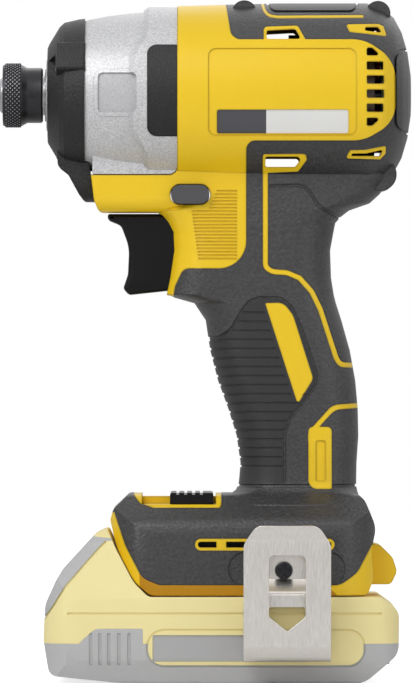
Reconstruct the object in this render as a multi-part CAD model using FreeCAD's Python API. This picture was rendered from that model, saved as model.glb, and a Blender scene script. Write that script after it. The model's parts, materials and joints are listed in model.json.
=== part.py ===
import FreeCAD
import Part
import math
import os

# Cordless impact driver with its slide-on battery pack, in millimetres.
# +X points to the back of the tool, -X to the chuck, +Z up and -Y to the tool's left side.
# The origin is the middle of the pack's flat underside, in the parting plane of the housing.

VEC = FreeCAD.Vector
PARTS = {}

# ---- driving dimensions -------------------------------------------------------------------------

AXIS_Z = 193.2  # height of the spindle axis
RUN_GAP = 0.06  # radial clearance of a shaft in its bush or bearing
FIT_GAP = 0.3  # clearance between neighbouring mouldings
SEAT_GAP = 0.02  # clearance of a part laid or pressed into its seat

# Housing barrel, around the motor
BARREL_FRONT = -15.2
BARREL_BACK = 61.7
BARREL_R = 29.5
BARREL_REAR_R = 30.4
BARREL_FULL_X = 18.0  # where the barrel's gentle taper reaches its full radius
WALL = 2.9
SKIN = 1.5  # thickness of the soft overmould

# Handle and foot
HANDLE_TOP_Z = 174.0
SHROUD_LOW_Z = 154.5  # underside of the housing's nose, above the trigger
SHROUD_HALF_W = 15.5
FOOT_BASE_Z = 29.0
FOOT_TOP_Z = 62.0
FOOT_HALF_W = 33.2
FOOT_CROWN_HALF_W = 20.0
FOOT_SHOULDER_DROP = 9.5
GRIP_HALF_W = 17.2

# Gearcase and nose
CASE_NOSE_X = -58.4
CASE_FACE_X = -46.6
CASE_BACK_X = 6.3
CASE_BORE_R = 22.7
CASE_SKIRT_R = 26.2
CASE_FLAT_Z = 167.0
CASE_CORNER_R = 2.8  # where the housing wraps the gearcase's lower back corner
KEEL_HALF_W = 15.2  # flat foot of the gearcase, which stands on the housing's nose
SNOUT_R = 11.6
BUSH_R = 9.6
BOOT_FRONT_X = -58.0

# Output shaft and chuck
ANVIL_TIP_X = -73.8
ANVIL_R = 7.0
ANVIL_TIP_R = 5.8
HEX_AF = 6.5
HEX_DEPTH = 25.0
SLEEVE_R = 10.6
SLEEVE_WAIST_R = 9.1
SLEEVE_FRONT_X = -72.8
SLEEVE_BACK_X = -59.6
SLEEVE_GROOVES = 24
SLEEVE_TRAVEL = 4.0  # how far the sleeve slides forward to free a bit

# Hammer mechanism
HAMMER_R = 20.5
HAMMER_FRONT_X = -38.8
HAMMER_BACK_X = -19.0
HAMMER_TRAVEL = 6.0
SPINDLE_R = 7.2
PILOT_R = 3.9
WING_THICK = 5.0
BALL_R = 1.8

# Planetary gears
MODULE = 1.0
SUN_TEETH = 9
PLANET_TEETH = 15
RING_TEETH = 39
PLANETS = 3
PRESSURE_DEG = 25.0
ADDENDUM = 0.78
DEDENDUM = 1.1
BACKLASH = 0.14
GEAR_FRONT_X = -4.5
GEAR_BACK_X = 3.5

# Motor
SHAFT_R = 2.5
FAN_X = 21.4
FAN_R = 21.0
STATOR_FRONT_X = 29.5
STATOR_LEN = 20.0
STATOR_R = 23.5
ROTOR_R = 11.0
AIR_GAP = 0.6
STATOR_TEETH = 6

# Trigger and buttons
TRIGGER_HALF_W = 8.6
TRIGGER_TRAVEL = 6.0
STEM_BACK_X = -7.0
STEM_HALF_W = 2.4
SWITCH_LOW_Z = 129.0
BUTTON_X = -11.0
BUTTON_Z = 160.3
BUTTON_LEN = 12.6
BUTTON_HIGH = 6.2
BUTTON_TRAVEL = 3.0
MODE_TRAVEL = 8.6
TRAY_HALF_W = 26.0
SLIDER_LEN = 14.2
SLIDER_HALF_W = 21.5

# Belt hook
HOOK_X0 = 6.4
HOOK_W = 28.4
HOOK_T = 1.3
HOOK_TOP_Z = 52.3
HOOK_GAP = 11.0
HOOK_SCREW_X = 19.6
HOOK_SCREW_Z = 37.3
HOOK_HEAD_R = 2.9
INSERT_IN_Y = 26.0  # inner end of the threaded inserts

# Battery pack
PACK_HALF_W = 37.4
PACK_FRONT_X = -59.0
PACK_BACK_X = 57.4
PACK_DECK_Z = 28.6
PACK_HEAD_Z = 50.6
PACK_SPLIT_Z = 13.4
PACK_WALL = 2.2
CELL_R = 9.2
CELL_LEN = 65.0
CELLS = 5
STRAP_T = 0.3
RAIL_HALF_W = 23.4
RAIL_TOP_Z = 37.4
LATCH_HALF_W = 15.0
LATCH_TRAVEL = 2.5
LATCH_THICK = 2.6


# ---- shape helpers ------------------------------------------------------------------------------


def corner_wire(corners, place):
    """A closed wire through (u, v, radius) corners, rounded by their radii, set in space by place(u, v)."""
    n = len(corners)
    cuts = []
    for i, (u, v, r) in enumerate(corners):
        before = corners[i - 1]
        after = corners[(i + 1) % n]
        a = VEC(before[0] - u, before[1] - v, 0)
        b = VEC(after[0] - u, after[1] - v, 0)
        turn = a.getAngle(b)
        if r <= 0 or abs(turn - math.pi) < 1e-4:
            cuts.append((VEC(u, v, 0), None, VEC(u, v, 0)))
            continue
        reach = min(r / math.tan(turn / 2), 0.49 * a.Length, 0.49 * b.Length)
        radius = reach * math.tan(turn / 2)
        a.normalize()
        b.normalize()
        middle = (a + b).normalize() * (radius / math.sin(turn / 2) - radius)
        here = VEC(u, v, 0)
        cuts.append((here + a * reach, here + middle, here + b * reach))
    edges = []
    for i, (start, mid, end) in enumerate(cuts):
        if mid is not None:
            points = [place(p.x, p.y) for p in (start, mid, end)]
            edges.append(Part.Arc(*points).toShape())
        following = cuts[(i + 1) % n][0]
        if (following - end).Length > 1e-6:
            edges.append(Part.LineSegment(place(end.x, end.y), place(following.x, following.y)).toShape())
    return Part.Wire(edges)


def side_slab(corners, y0, y1):
    """Side-view outline of (x, z, radius) corners, extruded from y0 to y1."""
    face = Part.Face(corner_wire(corners, lambda x, z: VEC(x, y0, z)))
    return face.extrude(VEC(0, y1 - y0, 0))


def plan_slab(corners, z0, z1):
    """Top-view outline of (x, y, radius) corners, extruded from z0 to z1."""
    face = Part.Face(corner_wire(corners, lambda x, y: VEC(x, y, z0)))
    return face.extrude(VEC(0, 0, z1 - z0))


def front_slab(corners, x0, x1):
    """Front-view outline of (y, z, radius) corners, extruded from x0 to x1."""
    face = Part.Face(corner_wire(corners, lambda y, z: VEC(x0, y, z)))
    return face.extrude(VEC(x1 - x0, 0, 0))


def box(x0, x1, y0, y1, z0, z1):
    return Part.makeBox(x1 - x0, y1 - y0, z1 - z0, VEC(x0, y0, z0))


def turned(profile):
    """A solid of revolution about the spindle axis, from a closed (x, radius) outline."""
    points = [VEC(x, 0, AXIS_Z + r) for x, r in profile]
    face = Part.Face(Part.makePolygon(points + [points[0]]))
    return face.revolve(VEC(0, 0, AXIS_Z), VEC(1, 0, 0), 360)


def disc(x0, x1, r, y=0.0, z=AXIS_Z):
    """A cylinder along X."""
    return Part.makeCylinder(r, x1 - x0, VEC(x0, y, z), VEC(1, 0, 0))


def ring(x0, x1, r_out, r_in, y=0.0, z=AXIS_Z):
    return disc(x0, x1, r_out, y, z).cut(disc(x0 - 1, x1 + 1, r_in, y, z))


def peg(x, z, y0, y1, r):
    """A cylinder along Y."""
    return Part.makeCylinder(r, y1 - y0, VEC(x, y0, z), VEC(0, 1, 0))


def around(shape, degrees):
    """A copy of shape turned about the spindle axis."""
    copy = shape.copy()
    copy.rotate(VEC(0, 0, AXIS_Z), VEC(1, 0, 0), degrees)
    return copy


def spread(shape, count, first=0.0):
    """count copies of shape, evenly spaced about the spindle axis."""
    return [around(shape, first + 360.0 * i / count) for i in range(count)]


def fused(shapes):
    whole = shapes[0]
    if len(shapes) > 1:
        whole = whole.fuse(shapes[1:])
    return whole.removeSplitter()


def cut_all(shape, tools):
    for tool in tools:
        shape = shape.cut(tool)
    return shape


def rounded_edges(shape, radius, wanted):
    """Fillets the edges that the test wanted(edge) picks."""
    chosen = [e for e in shape.Edges if wanted(e)]
    return shape.makeFillet(radius, chosen) if chosen else shape


COIL_RUNS = 24  # straight runs in each turn of a spring


def coil(x0, x1, mean_r, wire_r, turns, z=AXIS_Z):
    """A coil spring along X at height z, with its ends at x0 and x1, as short mitred runs of wire."""
    length = x1 - x0 - 2 * wire_r
    count = COIL_RUNS * turns
    points = []
    for i in range(count + 1):
        a = 2 * math.pi * i / COIL_RUNS
        points.append(VEC(x0 + wire_r + length * i / count, mean_r * math.sin(a), z + mean_r * math.cos(a)))
    section = Part.Wire(Part.makeCircle(wire_r, points[0], points[1] - points[0]))
    return Part.makePolygon(points).makePipeShell([section], True, False, 1)


STRIPE_BEND = 5.0  # largest radius where a band turns


def stripe(points, width):
    """A band of the given width along a run of side-view (x, z) points, right through the tool."""
    left = []
    right = []
    last = len(points) - 1
    for i, (x, z) in enumerate(points):
        a = points[max(i - 1, 0)]
        b = points[min(i + 1, last)]
        before = VEC(x - a[0], z - a[1], 0) if i else VEC(b[0] - x, b[1] - z, 0)
        after = VEC(b[0] - x, b[1] - z, 0) if i < last else before
        before.normalize()
        after.normalize()
        mitre = VEC(-before.y - after.y, before.x + after.x, 0).normalize()
        reach = width / 2 / mitre.dot(VEC(-before.y, before.x, 0))
        bend = STRIPE_BEND if 0 < i < last else 0
        left.append((x + mitre.x * reach, z + mitre.y * reach, bend))
        right.append((x - mitre.x * reach, z - mitre.y * reach, bend))
    return side_slab(left + right[::-1], -60, 60)


def panel(x0, x1, z0, z1, r):
    """A rounded side-view rectangle, right through the tool."""
    return side_slab([(x0, z0, r), (x1, z0, r), (x1, z1, r), (x0, z1, r)], -60, 60)


def keep(name, *shapes):
    """Stores the solids of one node."""
    solids = [s for shape in shapes for s in shape.Solids]
    if not solids:
        raise RuntimeError(name + " has no solid")
    PARTS[name] = solids


# ---- outlines shared by the mouldings ------------------------------------------------------------

# Handle stations: height, front x, back x, half width
HANDLE = [
    (HANDLE_TOP_Z, -14.8, 57.0, 15.0),
    (166.0, -14.8, 55.6, 15.5),
    (160.5, -15.4, 51.4, 15.8),
    (157.6, -16.6, 48.2, 16.0),
    (155.2, -23.4, 41.4, 16.2),
    (153.2, -20.6, 38.8, 16.3),
    (151.0, -18.8, 36.8, 16.5),
    (148.0, -17.3, 36.2, 16.6),
    (142.0, -17.0, 35.1, 16.8),
    (133.0, -18.3, 35.4, 16.8),
    (127.4, -19.5, 36.3, 16.8),
    (124.6, -9.6, 37.0, 16.9),
    (119.0, -5.9, 38.8, 17.0),
    (109.0, -4.4, 41.6, GRIP_HALF_W),
    (99.0, -1.8, 43.4, GRIP_HALF_W),
    (90.0, 1.5, 44.2, GRIP_HALF_W),
    (81.0, 4.3, 44.4, GRIP_HALF_W),
    (72.0, 5.6, 43.8, GRIP_HALF_W),
    (66.0, 5.1, 43.7, 17.3),
    (64.5, 4.8, 43.7, 17.6),
    (63.0, 4.0, 44.0, 18.6),
    (61.6, 2.2, 44.4, 20.4),
    (60.2, 0.6, 44.8, 22.8),
    (58.6, 0.0, 45.2, 25.2),
    (56.0, -1.0, 45.2, 26.0),
]

# Front edge of the foot and the pack's head, which stand against each other
FOOT_FRONT = [(-37.2, 53.6, 1.5), (-35.0, 44.4, 30.0), (-29.2, 33.4, 12.0)]


def handle_body(inset):
    """The grip as a loft of rounded rectangles, each drawn in by inset."""
    wires = []
    for z, front, back, half in HANDLE:
        h = half - inset
        r = min(0.72 * h, 12.5)
        wires.append(
            corner_wire(
                [(front + inset, -h, r), (back - inset, -h, r), (back - inset, h, r), (front + inset, h, r)],
                lambda x, y, z=z: VEC(x, y, z),
            )
        )
    return Part.makeLoft(wires, True, True)


def barrel_body(inset):
    """The motor barrel. An inset one runs out through the front face."""
    front = BARREL_FRONT - (1.0 if inset else 0.0)
    r = BARREL_R - inset
    rear = BARREL_REAR_R - inset
    back = BARREL_BACK - inset
    shape = turned(
        [
            (front, 0),
            (front, r),
            (BARREL_FULL_X, rear),
            (back - 14.5, rear),
            (back - 9.3, rear - 1.6),
            (back - 5.6, rear - 4.8),
            (back - 3.0, rear - 9.6),
            (back - 1.1, rear - 16.0),
            (back, rear - 23.5),
            (back, 0),
        ]
    )
    return shape


def shroud_body(inset):
    """The housing's nose under the gearcase, above the trigger."""
    half = SHROUD_HALF_W - inset
    low = SHROUD_LOW_Z + inset
    side = side_slab(
        [
            (-43.6 + inset, CASE_FLAT_Z - FIT_GAP - inset, 0),
            (-42.6 + inset, 158.4, 3),
            (-41.0 + inset, low, 2.0),
            (20.0, low, 0),
            (20.0, 176.0, 0),
            (BARREL_FRONT + inset, 176.0, 0),
            (BARREL_FRONT + inset, CASE_FLAT_Z - FIT_GAP - inset, CASE_CORNER_R),
        ],
        -half,
        half,
    )
    front = front_slab([(-half, 180, 0), (-half, low, 5), (half, low, 5), (half, 180, 0)], -50, 30)
    return side.common(front)


def foot_body(inset):
    """The foot that the battery pack slides under."""
    low = FOOT_BASE_Z + inset
    top = FOOT_TOP_Z - inset
    half = FOOT_HALF_W - inset
    shoulder = FOOT_TOP_Z - FOOT_SHOULDER_DROP - inset
    front = [(x + inset, z, r) for x, z, r in FOOT_FRONT]
    side = side_slab(
        [(-31.0 + inset, top, 2.0), (-36.2 + inset, 57.0, 2.0)]
        + front
        + [
            (-24.0 + inset, low, 4.0),
            (47.0 - inset, low, 2.0),
            (49.0 - inset, 34.0, 4.0),
            (48.4 - inset, 44.0, 6.0),
            (50.0 - inset, 51.0, 8.0),
            (45.4 - inset, top, 5.0),
        ],
        -half,
        half,
    )
    plan = plan_slab(
        [
            (-37.4 + inset, -half, 13.0),
            (50.2 - inset, -half, 13.0),
            (50.2 - inset, half, 13.0),
            (-37.4 + inset, half, 13.0),
        ],
        0,
        100,
    )
    shoulders = front_slab(
        [
            (-half, 0, 0),
            (half, 0, 0),
            (half, shoulder, 8.0),
            (FOOT_CROWN_HALF_W, top, 6.0),
            (-FOOT_CROWN_HALF_W, top, 6.0),
            (-half, shoulder, 8.0),
        ],
        -60,
        80,
    )
    return side.common(plan).common(shoulders)


# Housing screws: x, z and whether the boss stands in the barrel, handle or foot
SCREWS = [
    (6.8, 220.2),
    (50.8, 220.0),
    (51.5, 166.9),
    (-36.0, 160.6),
    (31.0, 132.0),
    (2.6, 118.0),
    (38.0, 71.0),
    (-30.6, 50.6),
    (44.0, 50.6),
]
SCREW_R = 1.5
SCREW_HEAD_R = 2.9
BOSS_R = 3.4
TOP_BOSS_R = 2.7


def top_bosses(inset):
    """Raised bosses on top of the barrel and at its lower back, round the screws there."""
    top = [peg(x, z, -9 + inset, 9 - inset, 4.1 - inset) for x, z in SCREWS[:2]]
    x, z = SCREWS[2]
    return top + [peg(x, z, -12 + inset, 12 - inset, 5.4 - inset)]


def whole_body(inset):
    """The closed outer form of the housing, drawn in by inset all round."""
    shapes = [barrel_body(inset), shroud_body(inset), handle_body(inset), foot_body(inset)]
    if inset < WALL:
        shapes += top_bosses(inset)
    return fused(shapes)


# Yellow trim let into the overmould: runs of side-view points and their widths
TRIMS = [
    ([(12.4, 225.0), (13.4, 220.6), (14.8, 219.0), (17.6, 218.5), (45.9, 218.7)], 1.0),
    ([(13.7, 168.5), (13.7, 136.4), (16.0, 134.9), (20.8, 134.6), (25.0, 132.8)], 1.65),
    ([(24.6, 133.2), (28.9, 128.4), (31.8, 122.4), (37.0, 106.4), (38.4, 104.4), (42.4, 104.2)], 1.65),
    ([(44.6, 91.0), (36.1, 90.4), (28.4, 81.9), (28.6, 79.0)], 1.65),
]
# Yellow frames round the vents in the overmould
VENT_FRAMES = [
    [(13.1, 209.0, 0), (13.1, 215.2, 1.2), (24.3, 215.6, 1.2), (27.8, 209.0, 0)],
    [(12.8, 173.4, 0.8), (26.9, 173.5, 1.2), (27.3, 171.6, 0.8), (24.5, 167.8, 1), (12.8, 167.3, 0)],
    [
        (40.0, 216.0, 0.6),
        (50.8, 216.2, 1.0),
        (52.4, 215.5, 0.6),
        (53.6, 211.9, 0.6),
        (51.5, 212.2, 0.4),
        (41.2, 213.4, 0.8),
    ],
    [
        (39.9, 172.0, 0.6),
        (41.4, 174.7, 0.8),
        (46.4, 174.8, 1.0),
        (53.2, 176.2, 0.6),
        (53.1, 173.6, 0.8),
        (51.3, 171.7, 0.6),
    ],
]
# Bare badge field in the grip, and the yellow block at the grip's lower back
GRIP_FIELD = [
    (13.6, 124.6, 0.4),
    (19.6, 124.8, 4.0),
    (22.8, 120.6, 5.0),
    (29.4, 99.8, 2.6),
    (24.3, 91.4, 0.6),
]
GRIP_BLOCK = [(27.8, 84.0, 1.5), (27.8, 63.6, 3.0), (35.5, 63.6, 0.6), (35.5, 84.0, 1.5)]
GRIP_BLOCK_RECESS = [(30.3, 79.4, 0.6), (30.3, 66.2, 0.6), (33.4, 66.2, 0.6), (33.4, 79.4, 0.6)]
# Side pad of the grip
GRIP_PAD = [
    (-12.0, 112.9, 0),
    (-1.2, 113.3, 3),
    (2.8, 116.3, 4),
    (5.4, 121.3, 6),
    (8.8, 125.8, 4),
    (20.3, 126.2, 4),
    (25.2, 116.3, 0),
    (30.6, 100.4, 5),
    (21.5, 87.1, 12),
    (19.6, 81.6, 8),
    (19.6, 65.0, 2),
    (-12.0, 65.0, 0),
]
GRIP_PAD_EDGE = [
    (-9.0, 112.9),
    (-1.2, 113.3),
    (2.8, 116.3),
    (5.4, 121.3),
    (8.3, 125.2),
    (11.6, 126.4),
    (18.6, 126.4),
    (22.1, 123.6),
    (25.5, 116.3),
    (30.5, 101.4),
    (30.1, 97.6),
    (25.6, 91.3),
    (21.8, 87.0),
    (20.0, 81.6),
    (20.0, 65.4),
]
GRIP_RIB_PITCH = 2.97
GRIP_RIB_TOP_Z = 121.4
GRIP_RIBS = 18
GRIP_RIB_W = 0.8
GRIP_RIB_DEPTH = 0.4
# Fine ribs beside the trigger
FINE_RIB_PITCH = 1.11
FINE_RIB_TOP_Z = 161.4
FINE_RIBS = 21
FINE_RIB_W = 0.45
FINE_RIB_DEPTH = 0.35
# Grooves where the overmould's pads meet: side-view runs
PAD_GROOVES = [
    [(15.0, 163.0), (25.2, 163.4), (27.9, 161.8), (31.1, 156.5), (37.3, 152.9), (46.0, 151.0)],
    [(64.0, 208.0), (56.2, 207.8), (56.2, 180.5), (64.0, 180.5)],
    [(14.6, 226.0), (14.6, 220.4), (44.0, 220.4), (44.0, 226.0)],
]
PAD_GROOVE_W = 0.8
GRIP_FOOT_GROOVE_Z = (64.1, 65.1)
# Name-plate panel on the barrel and the label in it
PLATE = (-5.0, 43.4, 179.5, 207.9, 2.5)
LABEL = (-2.2, 40.8, 180.1, 187.8, 0.7)
LABEL_SPLIT_X = 13.9  # where the label's darker end stops
LABEL_DEPTHS = (0.8, 0.7)
# Slot vent along the foot
FOOT_SLOT = (-8.4, 35.2, 44.7, 46.6, 0.9)
FOOT_SLOT_RIM = 1.0
FOOT_SLOT_POST = (-2.4, 0.8)


def yellow_zone():
    """Side-view outline of the bare, yellow part of the housing; soft overmould covers the rest."""
    barrel = side_slab(
        [
            (-60, 240, 0),
            (0.8, 240, 0),
            (0.8, 223, 0),
            (2.4, 212.5, 3),
            (4.6, 211.0, 2),
            (46, 211.0, 13),
            (56.3, 204, 14),
            (56.3, 184, 14),
            (46, 177.8, 13),
            (7.4, 177.8, 3),
            (7.4, 136.0, 9),
            (-13.2, 136.0, 3),
            (-16.0, 130.0, 3),
            (-17.5, 120.0, 0),
            (-60, 120.0, 0),
        ],
        -60,
        60,
    )
    x0, x1, z0, z1, r = FOOT_SLOT
    rim = FOOT_SLOT_RIM
    slabs = [side_slab(c, -60, 60) for c in VENT_FRAMES + [GRIP_FIELD, GRIP_BLOCK]]
    slabs += [stripe(points, width) for points, width in TRIMS]
    slabs.append(panel(x0 - rim, x1 + rim, z0 - rim, z1 + rim, r + rim))
    return [barrel] + slabs


def foot_rim_zone():
    """Side-view outline of the yellow rim round the bottom of the foot."""
    return side_slab(
        [
            (-45, 56.2, 0),
            (-35.8, 56.2, 0),
            (-32.2, 45.4, 20),
            (-26.6, 34.6, 6),
            (-21, 32.4, 3),
            (38, 32.4, 6),
            (43.6, 36.4, 8),
            (48.4, 45.4, 0),
            (60, 45.4, 0),
            (60, 20, 0),
            (-45, 20, 0),
        ],
        -60,
        60,
    )


# Cooling vents: side-view outlines, cut right through both walls
FRONT_VENTS = [
    [(14.1, 211.1, 0.6), (14.1, 213.9, 0.6), (23.5, 214.4, 1.2), (25.3, 211.1, 0.6)],
    [(13.7, 169.3, 0.6), (13.7, 172.6, 0.6), (26.0, 172.6, 1.0), (23.4, 169.3, 0.6)],
]
REAR_SLOTS = [
    [(46.4, 213.9, 0.4), (46.4, 215.0, 0.4), (50.6, 215.1, 0.6), (51.9, 213.2, 0.4)],
    [(41.6, 172.8, 0.4), (42.2, 173.6, 0.4), (46.6, 173.6, 0.4), (52.2, 174.9, 0.4), (51.2, 172.8, 0.5)],
    [(46.8, 205.6, 0.4), (46.8, 208.2, 0.8), (48.6, 208.2, 1.5), (51.4, 205.6, 0.6)],
    [(46.8, 200.9, 0.4), (46.8, 203.6, 0.4), (52.2, 203.6, 0.4), (52.2, 200.9, 0.4)],
    [(46.8, 196.3, 0.4), (46.8, 199.0, 0.4), (52.4, 199.0, 0.4), (52.4, 196.3, 0.4)],
    [(46.8, 191.7, 0.4), (46.8, 194.4, 0.4), (52.4, 194.4, 0.4), (52.4, 191.7, 0.4)],
    [(46.8, 187.1, 0.4), (46.8, 189.8, 0.4), (52.2, 189.8, 0.4), (52.2, 187.1, 0.4)],
    [(46.8, 182.6, 0.4), (46.8, 185.2, 0.4), (51.4, 185.2, 0.6), (48.6, 182.6, 1.5)],
]


def surface_carvings():
    """Pairs of a cutting tool and the core it stops at, for the shallow detail in the mouldings' faces."""
    pad = side_slab(GRIP_PAD, -60, 60)
    grow = (-1.2, -0.4, 1.2, 1.2, -1.2)
    field = side_slab([(x + dx, z, r) for dx, (x, z, r) in zip(grow, GRIP_FIELD, strict=True)], -60, 60)
    ribs = []
    for i in range(GRIP_RIBS):
        z = GRIP_RIB_TOP_Z - GRIP_RIB_PITCH * i
        ribs.append(box(-20, 60, -60, 60, z - GRIP_RIB_W / 2, z + GRIP_RIB_W / 2).common(pad).cut(field))
    edge = stripe(GRIP_PAD_EDGE, PAD_GROOVE_W)
    grooves = [stripe(run, PAD_GROOVE_W) for run in PAD_GROOVES]
    collar = box(-10, 60, -60, 60, *GRIP_FOOT_GROOVE_Z).cut(side_slab(GRIP_BLOCK, -60, 60))
    deep = Part.makeCompound(ribs + [edge] + grooves + [collar, side_slab(GRIP_BLOCK_RECESS, -60, 60)])
    fine = []
    for i in range(FINE_RIBS):
        z = FINE_RIB_TOP_Z - FINE_RIB_PITCH * i
        x0 = -2.2 - 0.5 * i if i < 6 else -10.4 + 0.16 * (i - 6)
        fine.append(box(x0, 4.3, -60, 60, z - FINE_RIB_W / 2, z + FINE_RIB_W / 2))
    shallow = Part.makeCompound(fine + [panel(*PLATE)])
    x0, x1, z0, z1, r = LABEL
    dark = side_slab([(x0, z0, r), (LABEL_SPLIT_X, z0, 0), (LABEL_SPLIT_X, z1, 0), (x0, z1, r)], -60, 60)
    light = side_slab([(LABEL_SPLIT_X, z0, 0), (x1, z0, r), (x1, z1, r), (LABEL_SPLIT_X, z1, 0)], -60, 60)
    return [
        (deep, whole_body(GRIP_RIB_DEPTH)),
        (shallow, whole_body(FINE_RIB_DEPTH)),
        (dark, barrel_body(LABEL_DEPTHS[0])),
        (light, barrel_body(LABEL_DEPTHS[1])),
    ]


def housing():
    """Two shell halves with bosses, ribs and vents, and the soft overmould on each."""
    outer = whole_body(0)
    under = whole_body(SKIN)
    hollow = whole_body(WALL)
    soft = cut_all(outer.cut(under), yellow_zone() + [foot_rim_zone()])
    shell = outer.cut(hollow)
    carvings = surface_carvings()

    vents = [side_slab(v, -60, 60) for v in FRONT_VENTS + REAR_SLOTS]
    front_mouth = disc(BARREL_FRONT - SEAT_GAP / 2, CASE_BACK_X, CASE_SKIRT_R + FIT_GAP)
    trigger_gap = box(
        -50, -13.0, -TRIGGER_HALF_W - FIT_GAP, TRIGGER_HALF_W + FIT_GAP, 127.0 - FIT_GAP, SHROUD_LOW_Z
    )
    b = BUTTON_LEN / 2 + FIT_GAP
    c = BUTTON_HIGH / 2 + FIT_GAP
    button_hole = side_slab(
        [
            (BUTTON_X - b, BUTTON_Z - c, c),
            (BUTTON_X + b, BUTTON_Z - c, c),
            (BUTTON_X + b, BUTTON_Z + c, c),
            (BUTTON_X - b, BUTTON_Z + c, c),
        ],
        -40,
        40,
    )
    channel_half = RAIL_HALF_W + FIT_GAP
    channel = box(-50, 36.0, -channel_half, channel_half, 20, RAIL_TOP_Z + FIT_GAP)
    tray_pocket = tray_block(FIT_GAP / 3)
    hook_face = side_slab(
        [(1.6, 32.0, 5.6), (39.6, 32.0, 5.6), (39.6, 43.3, 5.6), (1.6, 43.3, 5.6)], -60, -FOOT_HALF_W + 0.4
    )
    slot = panel(*FOOT_SLOT).cut(box(*FOOT_SLOT_POST, -60, 60, 30, 60)).cut(box(-50, 60, -26, 26, 30, 60))
    insert_holes = [peg(HOOK_SCREW_X, HOOK_SCREW_Z, y, y + 34, 3.0 + SEAT_GAP) for y in (-60, INSERT_IN_Y)]

    bosses = fused([peg(x, z, -30, 30, TOP_BOSS_R if i == 0 else BOSS_R) for i, (x, z) in enumerate(SCREWS)])
    # Ribs that carry the motor, the switch and the controller inside the shells
    motor_ribs = fused(
        [
            ring(STATOR_FRONT_X + 2, STATOR_FRONT_X + 4, BARREL_REAR_R - 1, STATOR_R + SEAT_GAP),
            ring(STATOR_FRONT_X + 12.5, STATOR_FRONT_X + 14.5, BARREL_REAR_R - 1, STATOR_R + SEAT_GAP),
            ring(53.0, 56.6, BARREL_REAR_R - 8, 7.0 + SEAT_GAP),
        ]
    )
    switch_ribs = fused([box(x, x + 3.5, -17, 17, 125.0, SWITCH_LOW_Z - SEAT_GAP) for x in (-4.0, 15.5)])
    floor = box(-34.0, 36.0, -30, 30, RAIL_TOP_Z + FIT_GAP, RAIL_TOP_Z + FIT_GAP + 2.2)
    rail_walls = fused(
        [
            box(-34, 36, -channel_half - 2.2, -channel_half, FOOT_BASE_Z, RAIL_TOP_Z + 1),
            box(-34, 36, channel_half, channel_half + 2.2, FOOT_BASE_Z, RAIL_TOP_Z + 1),
            box(36.0, 38.2, -channel_half - 2.2, channel_half + 2.2, FOOT_BASE_Z, RAIL_TOP_Z + FIT_GAP + 2.2),
        ]
    )
    insert_bosses = fused([peg(HOOK_SCREW_X, HOOK_SCREW_Z, y, y + 6.4, 5.0) for y in (-31.0, 24.6)])
    inside = hollow.common(fused([bosses, motor_ribs, switch_ribs, floor, rail_walls, insert_bosses]))
    shell = fused([shell, inside])

    cuts = vents + insert_holes
    cuts += [front_mouth, trigger_gap, button_hole, channel, tray_pocket, hook_face, slot]
    for i, (x, z) in enumerate(SCREWS):
        seat = head_y(i)
        cuts.append(peg(x, z, seat - screw_length(i) - 0.5, seat + 1, SCREW_R + SEAT_GAP))
        cuts.append(peg(x, z, seat, 60, SCREW_HEAD_R + FIT_GAP))
    lips = rail_lips().common(outer)
    horn = rear_horn()
    soft = cut_all(soft, cuts + [lips, horn])
    shell = cut_all(shell, cuts).cut(soft)
    shell = fused([shell, lips, horn])
    for tools, core in carvings:
        soft = soft.cut(tools.cut(core))
        shell = shell.cut(tools.cut(core))

    left = box(-100, 100, -60, 0, 0, 300)
    right = box(-100, 100, 0, 60, 0, 300)
    keep("housing_left", biggest(shell.common(left)))
    keep("housing_right", biggest(shell.common(right)))
    keep("overmould_left", *big_enough(soft.common(left)))
    keep("overmould_right", *big_enough(soft.common(right)))


def biggest(shape):
    return max(shape.Solids, key=lambda s: s.Volume)


def big_enough(shape, least=60.0):
    """The solids of shape, without slivers."""
    return [s for s in shape.Solids if s.Volume > least]


def head_y(i):
    """Where the head of screw i seats on the right-hand shell."""
    return [4.0, 4.0, 5.0, 8.0, 9.0, 9.0, 9.0, 16.0, 16.0][i]


def screw_length(i):
    """Length of screw i under its head."""
    return 16.0 if i > 2 else 11.0


def rail_lips():
    """The inward lips in the foot's channel that hold the pack's rails."""
    lip = [
        box(-20, 35.9, -RAIL_HALF_W - 1, -RAIL_HALF_W + 2.6, 30.9, 33.6),
        box(-20, 35.9, RAIL_HALF_W - 2.6, RAIL_HALF_W + 1, 30.9, 33.6),
    ]
    return fused(lip)


REAR_HORN = [
    (46.5, 32.2, 0),
    (55.0, 32.2, 2),
    (57.0, 36.4, 3),
    (55.6, 41.0, 4),
    (51.5, 45.0, 2),
    (46.5, 46.5, 0),
]
HORN_HALF_W = 14.0


def rear_horn():
    """The yellow wedge at the back of the foot, in two halves."""
    wedge = side_slab(REAR_HORN, -HORN_HALF_W, HORN_HALF_W)
    return wedge.cut(foot_body(WALL))


def housing_screws():
    """Self-tapping screws from the right-hand side, and the brass inserts of the belt hook."""
    screws = []
    for i, (x, z) in enumerate(SCREWS):
        seat = head_y(i)
        head = peg(x, z, seat, seat + 2.2, SCREW_HEAD_R)
        socket = box(x - 0.5, x + 0.5, seat + 1.0, seat + 3, z - 1.7, z + 1.7)
        socket = socket.fuse(box(x - 1.7, x + 1.7, seat + 1.0, seat + 3, z - 0.5, z + 0.5))
        shank = peg(x, z, seat - screw_length(i), seat + 0.5, SCREW_R)
        screws.append(head.fuse(shank).cut(socket))
    keep("housing_screws", *screws)
    inserts = []
    for side in (-1, 1):
        y0 = side * (FOOT_HALF_W - 0.45)
        y1 = side * (INSERT_IN_Y + SEAT_GAP)
        low = min(y0, y1)
        high = max(y0, y1)
        bore = peg(HOOK_SCREW_X, HOOK_SCREW_Z, -60, 60, 2.0)
        inserts.append(peg(HOOK_SCREW_X, HOOK_SCREW_Z, low, high, 3.0).cut(bore))
    keep("hook_inserts", *inserts)


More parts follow.
